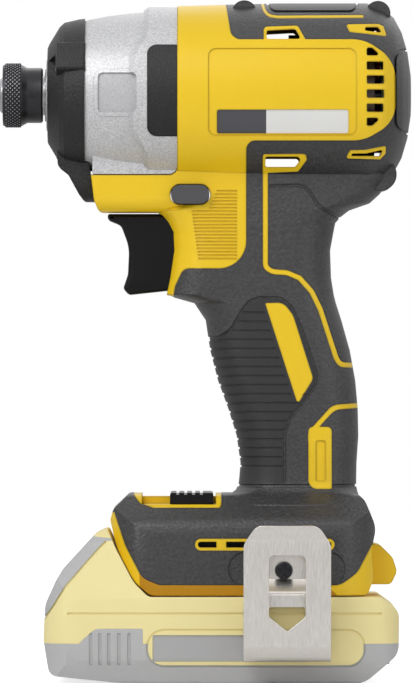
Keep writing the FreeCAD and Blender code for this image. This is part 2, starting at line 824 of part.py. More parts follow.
# ---- gearcase and nose ---------------------------------------------------------------------------


def case_outside(extra=0.0):
    """The cast gearcase's outer form: a tapered nose with a raised band at the back."""
    return turned(
        [
            (CASE_NOSE_X, 0),
            (CASE_NOSE_X, SNOUT_R + extra),
            (-56.6, SNOUT_R + extra),
            (-56.0, 13.5 + extra),
            (-50.6, 20.6 + extra),
            (CASE_FACE_X, 24.2 + extra),
            (-44.0, 25.0 + extra),
            (-38.0, 26.1 + extra),
            (-31.0, 27.0 + extra),
            (-24.0, 27.5 + extra),
            (BARREL_FRONT - SEAT_GAP, 27.9 + extra),
            (BARREL_FRONT - SEAT_GAP, CASE_SKIRT_R),
            (CASE_BACK_X, CASE_SKIRT_R),
            (CASE_BACK_X, 0),
        ]
    )


def pad_outline(grow=0.0):
    return side_slab(
        [
            (-24.9 - grow, 179.3 - grow, 3.0 + grow),
            (-10, 179.3 - grow, 0),
            (-10, 209.1 + grow, 0),
            (-24.9 - grow, 209.1 + grow, 3.0 + grow),
        ],
        -60,
        60,
    )


CASE_BAND_R = 29.1  # raised band at the gearcase's back
BADGE = (-41.2, -28.6, 187.0, 200.0, 1.6)  # bare badge field on each side of the gearcase


def raised_band():
    """The band at the gearcase's back, which widens round the side pads, with a stepped edge."""
    steps = []
    for i in range(4):
        back = 0.45 * i
        x0 = -26.2 + back
        x1 = -31.0 + back
        outline = [
            (x0, 240, 0),
            (x0, 212.0 + back, 5),
            (x1, 206.5 - back, 5),
            (x1, 180.5 + back, 5),
            (x0, 174.6 - back, 5),
            (x0, 150, 0),
            (BARREL_FRONT - SEAT_GAP, 150, 0),
            (BARREL_FRONT - SEAT_GAP, 240, 0),
        ]
        r = CASE_BAND_R - 0.9 + 0.3 * i
        steps.append(disc(-32, BARREL_FRONT - SEAT_GAP, r).common(side_slab(outline, -60, 60)))
    return steps


KEEL_FRONT_X = -43.1


def badge_frame():
    """Raised rims round the badge fields."""
    x0, x1, z0, z1, r = BADGE
    rim = panel(x0 - 1.3, x1 + 1.3, z0 - 1.3, z1 + 1.3, r + 1.3).cut(panel(*BADGE))
    return rim.common(case_outside(0.3)).cut(box(-80, 40, -15, 15, 150, 250))


def plate_screw_spots():
    """Where the bearing plate's screws stand, as (y, z)."""
    r = (CASE_BORE_R + CASE_SKIRT_R) / 2
    return [
        (r * math.cos(math.radians(a)), AXIS_Z + r * math.sin(math.radians(a))) for a in (45, 135, 225, 315)
    ]


def boss_notch():
    """Room in the gearcase's skirt for the housing's first screw boss, which keys the two together."""
    x, z = SCREWS[0]
    return peg(x, z, -60, 60, TOP_BOSS_R + FIT_GAP)


def gearcase():
    back = BARREL_FRONT - SEAT_GAP
    foot = box(KEEL_FRONT_X, back, -KEEL_HALF_W, KEEL_HALF_W, CASE_FLAT_Z, CASE_FLAT_Z + 7)
    outside = fused([case_outside(), badge_frame(), foot] + raised_band())
    under = box(-100, BARREL_FRONT, -60, 60, 0, CASE_FLAT_Z)
    r = CASE_CORNER_R
    corner = box(back - r, BARREL_FRONT, -60, 60, CASE_FLAT_Z - 1, CASE_FLAT_Z + r)
    corner = corner.cut(peg(back - r, CASE_FLAT_Z + r, -60, 60, r))
    inside = turned(
        [
            (-45.2, 0),
            (-45.2, 18.0),
            (-43.4, CASE_BORE_R - 0.2),
            (-40.0, CASE_BORE_R),
            (CASE_BACK_X + 1, CASE_BORE_R),
            (CASE_BACK_X + 1, 0),
        ]
    )
    pockets = ring(-24.9 - 2, BARREL_FRONT + 0.5, 40, 27.0).common(pad_outline(0.15))
    case = cut_all(outside, [under, corner, inside, pockets])
    case = case.cut(panel(*BADGE).cut(case_outside(-0.45)))
    case = case.cut(disc(-60, -40, BUSH_R + SEAT_GAP))
    case = cut_all(case, [disc(-6.0, 10, 1.2, y, z) for y, z in plate_screw_spots()])
    key = box(GEAR_FRONT_X - 0.5, CASE_BACK_X + 1, -2.1, 2.1, AXIS_Z + 20, AXIS_Z + 24.3)
    case = cut_all(case, [around(key, a) for a in (90, 270)] + [boss_notch()])
    keep("gearcase", biggest(case))

    pads = ring(-24.9, BARREL_FRONT - SEAT_GAP, 29.3, 27.0 + SEAT_GAP).common(pad_outline(0.0))
    keep("gearcase_pads", *big_enough(pads))
    keep("anvil_bush", ring(CASE_NOSE_X + 0.2, -45.0, BUSH_R, ANVIL_R + RUN_GAP))


LED_ANGLES = (-60, 60, 180)  # round the spindle, from the top


def nose_boot():
    """The bumper round the gearcase's nose, its chin, and the three work lights in it."""
    ring_form = turned(
        [
            (BOOT_FRONT_X, SNOUT_R + FIT_GAP),
            (BOOT_FRONT_X, 15.6),
            (-57.4, 17.0),
            (-54.0, 22.6),
            (-52.4, 24.0),
            (-47.6, 25.1),
            (-45.7, 25.3),
            (-45.7, SNOUT_R + FIT_GAP),
        ]
    )
    chin_side = side_slab(
        [
            (-54.8, 178.0, 0),
            (-54.6, 169.6, 3),
            (-51.2, 167.0, 3),
            (-47.6, 160.4, 4),
            (-45.8, 158.0, 2),
            (-42.4, 157.7, 0.8),
            (-41.6, 158.4, 0.4),
            (-43.4, CASE_FLAT_Z, 0),
            (-43.9, CASE_FLAT_Z, 0),
            (-44.6, 178.0, 0),
        ],
        -11.5,
        11.5,
    )
    chin_front = front_slab([(-11.5, 200, 0), (-11.5, 158.0, 6), (11.5, 158.0, 6), (11.5, 200, 0)], -60, -30)
    block = box(-54.8, -45.4, -5.2, 5.2, AXIS_Z + 15, AXIS_Z + 25.6)
    block = rounded_edges(block, 1.0, lambda e: e.BoundBox.ZLength < 1e-6 and e.BoundBox.ZMin > AXIS_Z + 20)
    blocks = [around(block, a) for a in LED_ANGLES[:2]]
    boot = fused([ring_form, chin_side.common(chin_front)] + blocks)
    boot = boot.cut(case_outside(SEAT_GAP).cut(box(-100, BARREL_FRONT, -60, 60, 0, CASE_FLAT_Z - SEAT_GAP)))
    boot = boot.cut(shroud_body(-0.1))
    window = box(-60, -52.0, -3.2, 3.2, AXIS_Z + 16.4, AXIS_Z + 20.6)
    boot = cut_all(boot, [around(window, a) for a in LED_ANGLES])
    boot = boot.cut(ring(-53.4, -52.0, 20.8, 15.6))
    keep("nose_boot", biggest(boot))

    lens = box(-55.2, -53.6, -3.0, 3.0, AXIS_Z + 16.6, AXIS_Z + 20.4)
    keep("led_lenses", *[around(lens, a) for a in LED_ANGLES])
    board = ring(-53.1, -52.2, 20.4, 16.0)
    board = board.cut(case_outside(SEAT_GAP))
    chips = [around(box(-53.55, -53.1, -1.3, 1.3, AXIS_Z + 17.9, AXIS_Z + 20.2), a) for a in LED_ANGLES]
    keep("led_board", biggest(board), *chips)


# ---- chuck and anvil -----------------------------------------------------------------------------


def hexagon(x0, x1, across_flats):
    r = across_flats / math.sqrt(3)
    points = []
    for i in range(7):
        a = math.radians(60 * i)
        points.append(VEC(x0, r * math.cos(a), AXIS_Z + r * math.sin(a)))
    return Part.Face(Part.makePolygon(points)).extrude(VEC(x1 - x0, 0, 0))


SPRING_FRONT_X = ANVIL_TIP_X + 2.2
SLEEVE_STEP_X = SPRING_FRONT_X + SLEEVE_TRAVEL + 2.4  # the shut spring and a little room
CHUCK_WIRE_R = 0.45
BALL_X = -63.0
BALL_SEAT_R = 4.9
DETENT_R = 1.6


def anvil():
    """Output shaft with a hex socket and two wings, and what holds the chuck on it."""
    wing_back = HAMMER_FRONT_X - 0.5
    wing_front = wing_back - WING_THICK
    body = turned(
        [
            (ANVIL_TIP_X, 0),
            (ANVIL_TIP_X, ANVIL_TIP_R - 0.6),
            (ANVIL_TIP_X + 0.6, ANVIL_TIP_R),
            (-71.6, ANVIL_TIP_R),
            (-71.6, ANVIL_R - 0.4),
            (SLEEVE_BACK_X + 0.6, ANVIL_R - 0.4),
            (SLEEVE_BACK_X + 0.6, ANVIL_R),
            (wing_front, ANVIL_R),
            (wing_front, 9.0),
            (wing_back, 9.0),
            (wing_back, 0),
        ]
    )
    wings = box(wing_front, wing_back, -19.6, 19.6, AXIS_Z - 4.2, AXIS_Z + 4.2).common(
        disc(wing_front, wing_back, 19.8)
    )
    body = fused([body, wings])
    body = body.cut(hexagon(ANVIL_TIP_X - 1, ANVIL_TIP_X + HEX_DEPTH, HEX_AF))
    body = body.cut(disc(wing_back - 4.6, wing_back + 1, PILOT_R + RUN_GAP))
    groove = ring(ANVIL_TIP_X + 1.1, ANVIL_TIP_X + 1.9, 9, ANVIL_TIP_R - 0.5)
    body = body.cut(groove)
    hole = Part.makeCylinder(DETENT_R + RUN_GAP, 12, VEC(BALL_X, 0, AXIS_Z), VEC(0, 0, 1))
    body = cut_all(body, [hole, around(hole, 180)])
    keep("anvil", biggest(body))
    ball = Part.makeSphere(DETENT_R, VEC(BALL_X, 0, AXIS_Z + BALL_SEAT_R))
    keep("detent_balls", ball, around(ball, 180))
    keep("chuck_clip", ring(ANVIL_TIP_X + 1.15, ANVIL_TIP_X + 1.85, 7.4, ANVIL_TIP_R - 0.45).cut(
        box(-80, -60, -1.4, 1.4, AXIS_Z - 10, AXIS_Z)))
    front_washer = ring(ANVIL_TIP_X + 1.9, ANVIL_TIP_X + 2.15, 8.5, ANVIL_TIP_R + 0.1)
    thrust_washer = ring(SLEEVE_BACK_X + 0.65, CASE_NOSE_X - 0.15, 8.6, ANVIL_R + RUN_GAP)
    keep("chuck_washers", front_washer, thrust_washer)
    keep("chuck_spring", coil(SPRING_FRONT_X, SLEEVE_STEP_X - 0.1, 7.7, CHUCK_WIRE_R, 4))


def chuck_sleeve():
    profile = [
        (SLEEVE_FRONT_X, 8.9),
        (SLEEVE_FRONT_X, SLEEVE_R - 0.7),
        (SLEEVE_FRONT_X + 0.8, SLEEVE_R),
        (-67.4, SLEEVE_R),
        (-66.6, SLEEVE_R - 0.5),
        (-64.9, SLEEVE_WAIST_R),
        (SLEEVE_BACK_X - 0.4, SLEEVE_WAIST_R),
        (SLEEVE_BACK_X, SLEEVE_WAIST_R - 0.5),
        (SLEEVE_BACK_X, ANVIL_R + FIT_GAP),
        (SLEEVE_BACK_X - 0.4, ANVIL_R - 0.4 + RUN_GAP),
        (SLEEVE_STEP_X, ANVIL_R - 0.4 + RUN_GAP),
        (SLEEVE_STEP_X, 8.9),
    ]
    groove = disc(SLEEVE_FRONT_X + 1.0, -67.4, 0.35, 0, AXIS_Z + SLEEVE_R + 0.1)
    keep("chuck_sleeve", biggest(cut_all(turned(profile), spread(groove, SLEEVE_GROOVES))))


# ---- hammer and spindle --------------------------------------------------------------------------

CAM_BALL_X = -27.0
CAM_REACH = SPINDLE_R + 0.35  # distance of the cam balls' centres from the axis


def hammer():
    lug = ring(HAMMER_FRONT_X - WING_THICK, HAMMER_FRONT_X + 1, 19.6, 10.5)
    sector = front_slab(
        [(0, AXIS_Z, 0), (-14.0, AXIS_Z + 26, 0), (14.0, AXIS_Z + 26, 0)],
        HAMMER_FRONT_X - WING_THICK - 1,
        HAMMER_FRONT_X + 2,
    )
    lugs = [around(lug.common(sector), a) for a in (0, 180)]
    body = turned(
        [
            (HAMMER_FRONT_X, SPINDLE_R + RUN_GAP),
            (HAMMER_FRONT_X, HAMMER_R - 1),
            (HAMMER_FRONT_X + 1, HAMMER_R),
            (HAMMER_BACK_X - 0.6, HAMMER_R),
            (HAMMER_BACK_X, HAMMER_R - 0.6),
            (HAMMER_BACK_X, 17.2),
            (-30.5, 17.2),
            (-30.5, 10.2),
            (HAMMER_BACK_X, 10.2),
            (HAMMER_BACK_X, SPINDLE_R + RUN_GAP),
        ]
    )
    body = fused([body] + lugs)
    track = disc(CAM_BALL_X - 2.4 - HAMMER_TRAVEL, CAM_BALL_X + 2.2, BALL_R + 0.15, 0, AXIS_Z + CAM_REACH)
    body = cut_all(body, [track, around(track, 180)])
    keep("hammer", biggest(body))
    keep("hammer_spring", coil(-30.45, -8.6, 13.6, 1.3, 4))
    keep("spring_washer", ring(-8.55, -8.15, 16.4, SPINDLE_R + 0.1))


PLANET_ORBIT = MODULE * (SUN_TEETH + PLANET_TEETH) / 2
PIN_R = 2.0


def planet_spots():
    return [(PLANET_ORBIT, 360.0 * i / PLANETS) for i in range(PLANETS)]


def spindle():
    """Cam shaft with a two-plate carrier for the planets, and the balls that drive the hammer."""
    core = turned(
        [
            (HAMMER_FRONT_X - 4.6, 0),
            (HAMMER_FRONT_X - 4.6, PILOT_R),
            (HAMMER_FRONT_X + 0.3, PILOT_R),
            (HAMMER_FRONT_X + 0.3, SPINDLE_R),
            (-8.1, SPINDLE_R),
            (-8.1, 17.4),
            (GEAR_FRONT_X - 0.4, 17.4),
            (GEAR_FRONT_X - 0.4, 0),
        ]
    )
    back_plate = ring(GEAR_BACK_X + 0.4, GEAR_BACK_X + 2.8, 17.4, 6.4)
    journal = ring(GEAR_BACK_X + 2.6, 12.0, 10.0, 6.4)
    post = disc(GEAR_FRONT_X - 0.6, GEAR_BACK_X + 0.6, 2.3, 0, AXIS_Z + 14.9)
    carrier = fused([core, back_plate, journal] + spread(post, PLANETS, 60.0))
    slope = 32.0
    grooves = []
    for tilt in (-slope, slope):
        tangent = VEC(math.cos(math.radians(tilt)), math.sin(math.radians(tilt)), 0)
        start = VEC(CAM_BALL_X, 0, AXIS_Z + CAM_REACH)
        grooves.append(Part.makeCylinder(BALL_R + 0.1, 7.0, start, VEC(tangent.x, tangent.y, 0)))
    grooves.append(Part.makeSphere(BALL_R + 0.1, VEC(CAM_BALL_X, 0, AXIS_Z + CAM_REACH)))
    carrier = cut_all(carrier, grooves + [around(g, 180) for g in grooves])
    pin = disc(GEAR_FRONT_X - 3.6, GEAR_BACK_X + 2.8, PIN_R, 0, AXIS_Z + PLANET_ORBIT)
    hole = disc(GEAR_FRONT_X - 4, GEAR_BACK_X + 4, PIN_R + SEAT_GAP, 0, AXIS_Z + PLANET_ORBIT)
    carrier = cut_all(carrier, spread(hole, PLANETS))
    keep("cam_spindle", biggest(carrier))
    keep("planet_pins", *spread(pin, PLANETS))
    ball = Part.makeSphere(BALL_R, VEC(CAM_BALL_X, 0, AXIS_Z + CAM_REACH))
    keep("cam_balls", ball, around(ball, 180))


# ---- planetary gears -----------------------------------------------------------------------------


def gear_points(teeth, phase_deg, inner=False):
    """Involute tooth outline as (y, z) points about the origin, with a tooth centred at phase_deg from +Z."""
    pitch = MODULE * teeth / 2
    base = pitch * math.cos(math.radians(PRESSURE_DEG))
    tip = pitch + (DEDENDUM if inner else ADDENDUM) * MODULE
    root = pitch - (ADDENDUM if inner else DEDENDUM) * MODULE
    thin = BACKLASH / 2 / pitch
    half = math.pi / 2 / teeth + (thin if inner else -thin) / 2

    def involute(r):
        a = math.acos(min(1.0, base / r))
        return math.tan(a) - a

    low = max(root, base * 1.0001)
    steps = 4
    flank = [low + (tip - low) * i / steps for i in range(steps + 1)]
    points = []
    for k in range(teeth):
        centre = math.radians(phase_deg) + 2 * math.pi * k / teeth
        shift = [half + involute(pitch) - involute(r) for r in flank]
        up = list(zip(flank, shift, strict=True))
        if root < low - 1e-6:
            up = [(root, up[0][1])] + up
        for r, s in up:
            points.append((r, centre - s))
        for r, s in reversed(up):
            points.append((r, centre + s))
    return [(r * math.sin(a), r * math.cos(a)) for r, a in points]


def gear_solid(points, x0, x1, y=0.0, z=AXIS_Z):
    corners = [VEC(x0, y + a, z + b) for a, b in points]
    return Part.Face(Part.makePolygon(corners + [corners[0]])).extrude(VEC(x1 - x0, 0, 0))


def planet_phase(spot_deg):
    """Turn of a planet at spot_deg so that it meshes with the sun, which has a tooth at the top."""
    sun_share = (SUN_TEETH * spot_deg / 360.0) % 1.0
    return spot_deg + 180.0 - 360.0 / PLANET_TEETH * (0.5 - sun_share)


def ring_phase():
    """Turn of the ring gear so that it meshes with the first planet, at the top."""
    planet_share = (PLANET_TEETH * planet_phase(0.0) / 360.0) % 1.0
    return 360.0 / RING_TEETH * planet_share


def gears():
    for i, (orbit, spot) in enumerate(planet_spots()):
        y = -orbit * math.sin(math.radians(spot))
        z = AXIS_Z + orbit * math.cos(math.radians(spot))
        wheel = gear_solid(gear_points(PLANET_TEETH, planet_phase(-spot)), GEAR_FRONT_X, GEAR_BACK_X, y, z)
        wheel = wheel.cut(disc(GEAR_FRONT_X - 1, GEAR_BACK_X + 1, PIN_R + RUN_GAP, y, z))
        keep("planet_gear_%d" % (i + 1), wheel)
    rim = disc(GEAR_FRONT_X - 0.4, GEAR_BACK_X + 0.4, CASE_BORE_R - SEAT_GAP)
    teeth = gear_solid(gear_points(RING_TEETH, ring_phase(), inner=True), GEAR_FRONT_X - 1, GEAR_BACK_X + 1)
    key = box(GEAR_FRONT_X - 0.4, GEAR_BACK_X + 0.4, -2.0, 2.0, AXIS_Z + 21.4, AXIS_Z + 24.1)
    rim = fused([rim] + [around(key, a) for a in (90, 270)])
    keep("ring_gear", rim.cut(teeth))


# ---- motor ---------------------------------------------------------------------------------------


def ball_bearing(x0, x1, r_out, r_in):
    """Closed bearing, drawn as one ring with a shallow groove between its races."""
    middle = (r_out + r_in) / 2
    body = ring(x0, x1, r_out, r_in)
    for a, b in ((x0 - 1, x0 + 0.4), (x1 - 0.4, x1 + 1)):
        body = body.cut(ring(a, b, middle + 0.9, middle - 0.9))
    return body


SPINDLE_BEARING_R = 15.0


def motor_frame():
    """Bearing plate that closes the gearcase and holds the spindle bearing and the motor's front bearing."""
    plate = turned(
        [
            (CASE_BACK_X + SEAT_GAP, 17.9),
            (CASE_BACK_X + SEAT_GAP, CASE_SKIRT_R),
            (9.6, CASE_SKIRT_R),
            (9.6, 17.2),
            (14.6, 17.2),
            (14.6, 11.4),
            (20.2, 10.6),
            (20.2, 4.4),
            (19.2, 4.4),
            (19.2, 8.0 + SEAT_GAP),
            (14.2, 8.0 + SEAT_GAP),
            (14.2, 7.0),
            (12.6, 7.0),
            (12.6, SPINDLE_BEARING_R + SEAT_GAP),
            (7.0, SPINDLE_BEARING_R + SEAT_GAP),
            (7.0, 17.9),
        ]
    )
    holes = [disc(0, 12, 1.5 + SEAT_GAP, y, z) for y, z in plate_screw_spots()]
    plate = cut_all(plate, holes + [boss_notch()])
    keep("bearing_plate", biggest(plate))
    screws = [
        disc(9.62, 11.4, 2.6, y, z).fuse(disc(-4.0, 9.7, 1.15, y, z)).cut(disc(10.6, 12, 1.0, y, z))
        for y, z in plate_screw_spots()
    ]
    keep("plate_screws", *screws)
    keep("spindle_bearing", ball_bearing(7.3, 12.3, SPINDLE_BEARING_R, 10.0 + RUN_GAP))
    front = ball_bearing(14.3, 19.1, 8.0, SHAFT_R + RUN_GAP)
    rear = ball_bearing(53.0, 57.0, 7.0, SHAFT_R + RUN_GAP)
    keep("rotor_bearings", front, rear)


def stator():
    back = STATOR_FRONT_X + STATOR_LEN
    yoke = ring(STATOR_FRONT_X, back, STATOR_R, 19.8)
    bore = disc(STATOR_FRONT_X - 1, back + 1, ROTOR_R + AIR_GAP)
    tooth = box(STATOR_FRONT_X, back, -2.4, 2.4, AXIS_Z + 8, AXIS_Z + 20.6)
    shoe = box(STATOR_FRONT_X, back, -5.0, 5.0, AXIS_Z + 8, AXIS_Z + 13.0)
    core = fused([yoke] + spread(tooth, STATOR_TEETH) + spread(shoe, STATOR_TEETH)).cut(bore)
    keep("stator_core", biggest(core))
    loop = box(STATOR_FRONT_X - 1.9, back + 1.9, -4.9, 4.9, AXIS_Z + 13.4, AXIS_Z + 19.0)
    loop = loop.cut(box(STATOR_FRONT_X - 0.1, back + 0.1, -2.7, 2.7, AXIS_Z + 10, AXIS_Z + 22))
    loop = rounded_edges(loop, 1.2, lambda e: e.BoundBox.ZLength > 5 and abs(e.BoundBox.YMin) > 4.8)
    keep("stator_windings", *spread(loop, STATOR_TEETH))
    board = ring(back + 2.2, back + 3.2, 22.6, 7.6)
    keep("sensor_board", board)


def rotor():
    back = STATOR_FRONT_X + STATOR_LEN
    shaft = fused(
        [
            disc(FAN_X - 8.0, 57.4, SHAFT_R),
            gear_solid(gear_points(SUN_TEETH, 0.0), GEAR_FRONT_X + 0.2, 6.4),
            disc(6.2, FAN_X - 7.0, SHAFT_R),
        ]
    )
    keep("rotor_shaft", biggest(shaft))
    core = ring(STATOR_FRONT_X + 0.3, back - 0.3, ROTOR_R, SHAFT_R + SEAT_GAP)
    slot = box(STATOR_FRONT_X - 1, back + 1, -5.6, 5.6, AXIS_Z + 6.6, AXIS_Z + 8.4)
    core = cut_all(core, spread(slot, 4))
    magnet = box(STATOR_FRONT_X + 0.5, back - 0.5, -5.5, 5.5, AXIS_Z + 6.65, AXIS_Z + 8.35)
    keep("rotor_core", biggest(core), *spread(magnet, 4))
    hub = ring(FAN_X, FAN_X + 5.0, 6.5, SHAFT_R + SEAT_GAP)
    plate = ring(FAN_X + 4.0, FAN_X + 5.0, FAN_R, 6.0)
    blade = box(FAN_X, FAN_X + 4.4, -0.6, 0.6, AXIS_Z + 6.3, AXIS_Z + FAN_R - 0.8)
    blade.rotate(VEC(0, 0, AXIS_Z + 13), VEC(1, 0, 0), 24)
    fan = fused([hub, plate] + spread(blade, 11))
    keep("cooling_fan", biggest(fan))


# ---- trigger, switch and buttons -----------------------------------------------------------------


def trigger():
    """Trigger shoe with its stem, the spring behind it, and the switch body it drives."""
    half = TRIGGER_HALF_W
    shoe = side_slab(
        [
            (-38.3, 154.0, 0.8),
            (-38.0, 151.9, 1.5),
            (-33.8, 150.2, 3),
            (-31.1, 143.0, 14),
            (-31.5, 134.0, 8),
            (-33.1, 129.4, 1.6),
            (-31.2, 127.3, 1.6),
            (-13.6, 129.2, 0),
            (-13.6, 154.0, 0),
        ],
        -half,
        half,
    )

    def finger_edge(e):
        b = e.BoundBox
        return b.YLength < 0.01 and b.XMax < -30.4 and 129.0 < b.ZMin and b.ZMax < 152.5

    shoe = rounded_edges(shoe, 1.5, finger_edge)
    shoe = shoe.cut(box(-26, -10, -half + 1.8, half - 1.8, 131.5, 151.0))
    stem = box(-27, STEM_BACK_X, -STEM_HALF_W, STEM_HALF_W, 139.0, 145.0)
    keep("trigger", biggest(fused([shoe, stem])))

    body = box(-5.6, 21.0, -10.5, 10.5, SWITCH_LOW_Z, 151.0)
    slot_end = STEM_BACK_X + TRIGGER_TRAVEL + 2.8
    slot_half = STEM_HALF_W + FIT_GAP
    body = body.cut(box(-6, slot_end, -slot_half, slot_half, 138.6, 145.4))
    body = rounded_edges(body, 1.5, lambda e: e.BoundBox.YLength > 15 and e.BoundBox.XMin > 20)
    keep("switch_body", body)
    keep("trigger_spring", coil(-25.95, -5.65, 2.2, 0.4, 9, 148.1))


def reverse_button():
    b = BUTTON_LEN / 2
    c = BUTTON_HIGH / 2
    reach = SHROUD_HALF_W - 0.1 + BUTTON_TRAVEL
    bar = side_slab(
        [
            (BUTTON_X - b, BUTTON_Z - c, c - 0.01),
            (BUTTON_X + b, BUTTON_Z - c, c - 0.01),
            (BUTTON_X + b, BUTTON_Z + c, c - 0.01),
            (BUTTON_X - b, BUTTON_Z + c, c - 0.01),
        ],
        -reach,
        reach,
    )
    waist = box(BUTTON_X - 20, BUTTON_X + 20, -9, 9, BUTTON_Z - c - 1, BUTTON_Z - c + 1.2)
    notch = waist.fuse(box(BUTTON_X - 20, BUTTON_X + 20, -9, 9, BUTTON_Z + c - 1.2, BUTTON_Z + c + 1))
    keep("reverse_button", biggest(bar.cut(notch)))


def tray_block(grow=0.0):
    """The yellow saddle let into the top of the foot, before its pocket is cut."""
    return side_slab(
        [
            (-30.4 - grow, 63.0, 0),
            (-27.4 - grow, 59.0 - grow, 3),
            (-22.0, 57.2 - grow, 4),
            (-1.6 + grow, 57.2 - grow, 1.2),
            (-0.8 + grow, 58.4 - grow, 1),
            (-0.8 + grow, 63.0, 0),
        ],
        -TRAY_HALF_W - grow,
        TRAY_HALF_W + grow,
    )


def mode_selector():
    """Tray let into the foot, and the selector that slides in it."""
    tray = tray_block().common(foot_body(0.1))
    x1 = -3.4
    x0 = x1 - SLIDER_LEN
    front = x0 - MODE_TRAVEL - 0.6
    pocket = box(front, -2.6, -30, 30, 58.6, 70)
    rib = box(front - 0.1, -2.5, -5.4, 5.4, 58.0, 61.0)
    tray = fused([tray.cut(pocket), rib])
    keep("mode_tray", biggest(tray))
    slider = box(x0, x1, -SLIDER_HALF_W, SLIDER_HALF_W, 58.75, 62.4)
    slider = rounded_edges(slider, 0.8, lambda e: e.BoundBox.YLength > 15 and e.BoundBox.ZMin > 62)
    slider = slider.cut(box(x0 - 1, x1 + 1, -5.6, 5.6, 58, 61.2))
    ribs = [x0 + 2.0 + 2.6 * i for i in range(4)]
    slider = cut_all(slider, [box(x, x + 1.0, -30, 30, 61.8, 63) for x in ribs])
    keep("mode_slider", slider)


# ---- electronics in the handle and foot ----------------------------------------------------------


def electronics():
    base = RAIL_TOP_Z + FIT_GAP + 2.2
    module = box(-24.0, 26.0, -21.0, 21.0, base + SEAT_GAP, base + 9.0)
    module = module.cut(box(-22.5, 24.5, -19.5, 19.5, base + 1.8, base + 12))
    potting = box(-22.4, 24.4, -19.4, 19.4, base + 1.85, base + 7.4)
    capacitor = Part.makeCylinder(4.0, 9.0, VEC(18.0, 12.5, base + 7.45), VEC(0, 0, 1))
    keep("controller_module", module, potting, capacitor)
    board = box(-27, -3, -8, 8, 53.6, 54.8)
    posts = [box(-27.0, -26.0, -6, 6, base + SEAT_GAP, 53.58), box(-4.0, -3.0, -6, 6, base + 7.45, 53.58)]
    keep("mode_board", board, *posts)


TERMINALS = (-14.0, -7.0, 0.0, 7.0, 14.0)


def tool_terminals():
    """Terminal block at the back of the foot's channel, with blades that point forward."""
    block = box(30.4, 35.9, -18.0, 18.0, 30.0, RAIL_TOP_Z + FIT_GAP - SEAT_GAP)
    block = cut_all(block, [box(29, 36, y - 0.42, y + 0.42, 32.0, 36.4) for y in TERMINALS])
    blades = [box(18.0, 35.8, y - 0.4, y + 0.4, 32.1, 36.3) for y in TERMINALS]
    keep("terminal_block", biggest(block), *blades)


def lead(points, r):
    """An insulated wire of straight runs and tangent arcs."""
    points = [VEC(*p) for p in points]
    edges = []
    at = points[0]
    for i in range(1, len(points) - 1):
        a = points[i - 1] - points[i]
        b = points[i + 1] - points[i]
        turn = a.getAngle(b)
        reach = 0.45 * min(a.Length, b.Length)
        radius = reach * math.tan(turn / 2)
        a.normalize()
        b.normalize()
        start = points[i] + a * reach
        end = points[i] + b * reach
        middle = points[i] + (a + b).normalize() * (radius / math.sin(turn / 2) - radius)
        edges.append(Part.LineSegment(at, start).toShape())
        edges.append(Part.Arc(start, middle, end).toShape())
        at = end
    edges.append(Part.LineSegment(at, points[-1]).toShape())
    path = Part.Wire(edges)
    direction = (points[1] - points[0]).normalize()
    return path.makePipeShell([Part.Wire(Part.makeCircle(r, points[0], direction))], True, False)


def wiring():
    """Motor leads down the back of the grip, and the switch's leads in front of them."""
    top = 48.9
    route = [
        (45.9, 169.4),
        (45.9, 163.2),
        (36.5, 156.5),
        (28.5, 148.5),
        (24.6, 134.0),
        (25.4, 118.0),
        (30.5, 103.0),
        (33.6, 88.0),
        (30.0, 73.0),
        (21.0, 62.0),
    ]
    phases = []
    for i, y in enumerate((-5.0, 0.0, 5.0)):
        end = 13.0 - 3 * i
        phases.append(lead([(x, y, z) for x, z in route + [(end + 2, 56.0), (end, top)]], 1.3))
    switch = [(6.0, 128.6), (9.0, 112.0), (15.0, 92.0), (17.0, 70.0), (8.0, 58.0), (0.0, top)]
    feeds = [lead([(x, y, z) for x, z in switch], 1.2) for y in (-4.0, 4.0)]
    keep("wire_leads", *phases, *feeds)


# ---- belt hook -----------------------------------------------------------------------------------


def hook_path():
    """Centre line of the hook's strip in the front view, from the screw tab round to the free end."""
    tab_y = -FOOT_HALF_W + 0.4 - HOOK_T / 2
    inner_y = -PACK_HALF_W - 1.0 - HOOK_T / 2
    outer_y = inner_y - HOOK_GAP - HOOK_T
    return [
        (tab_y, HOOK_SCREW_Z + 6.0, 0),
        (tab_y, 34.0, 1.4),
        (inner_y, 29.6, 1.6),
        (inner_y, 8.6, 5.4),
        (outer_y, 8.6, 4.6),
        (outer_y, HOOK_TOP_Z - 5, 3.0),
        (outer_y - 1.2, HOOK_TOP_Z, 0),
    ]


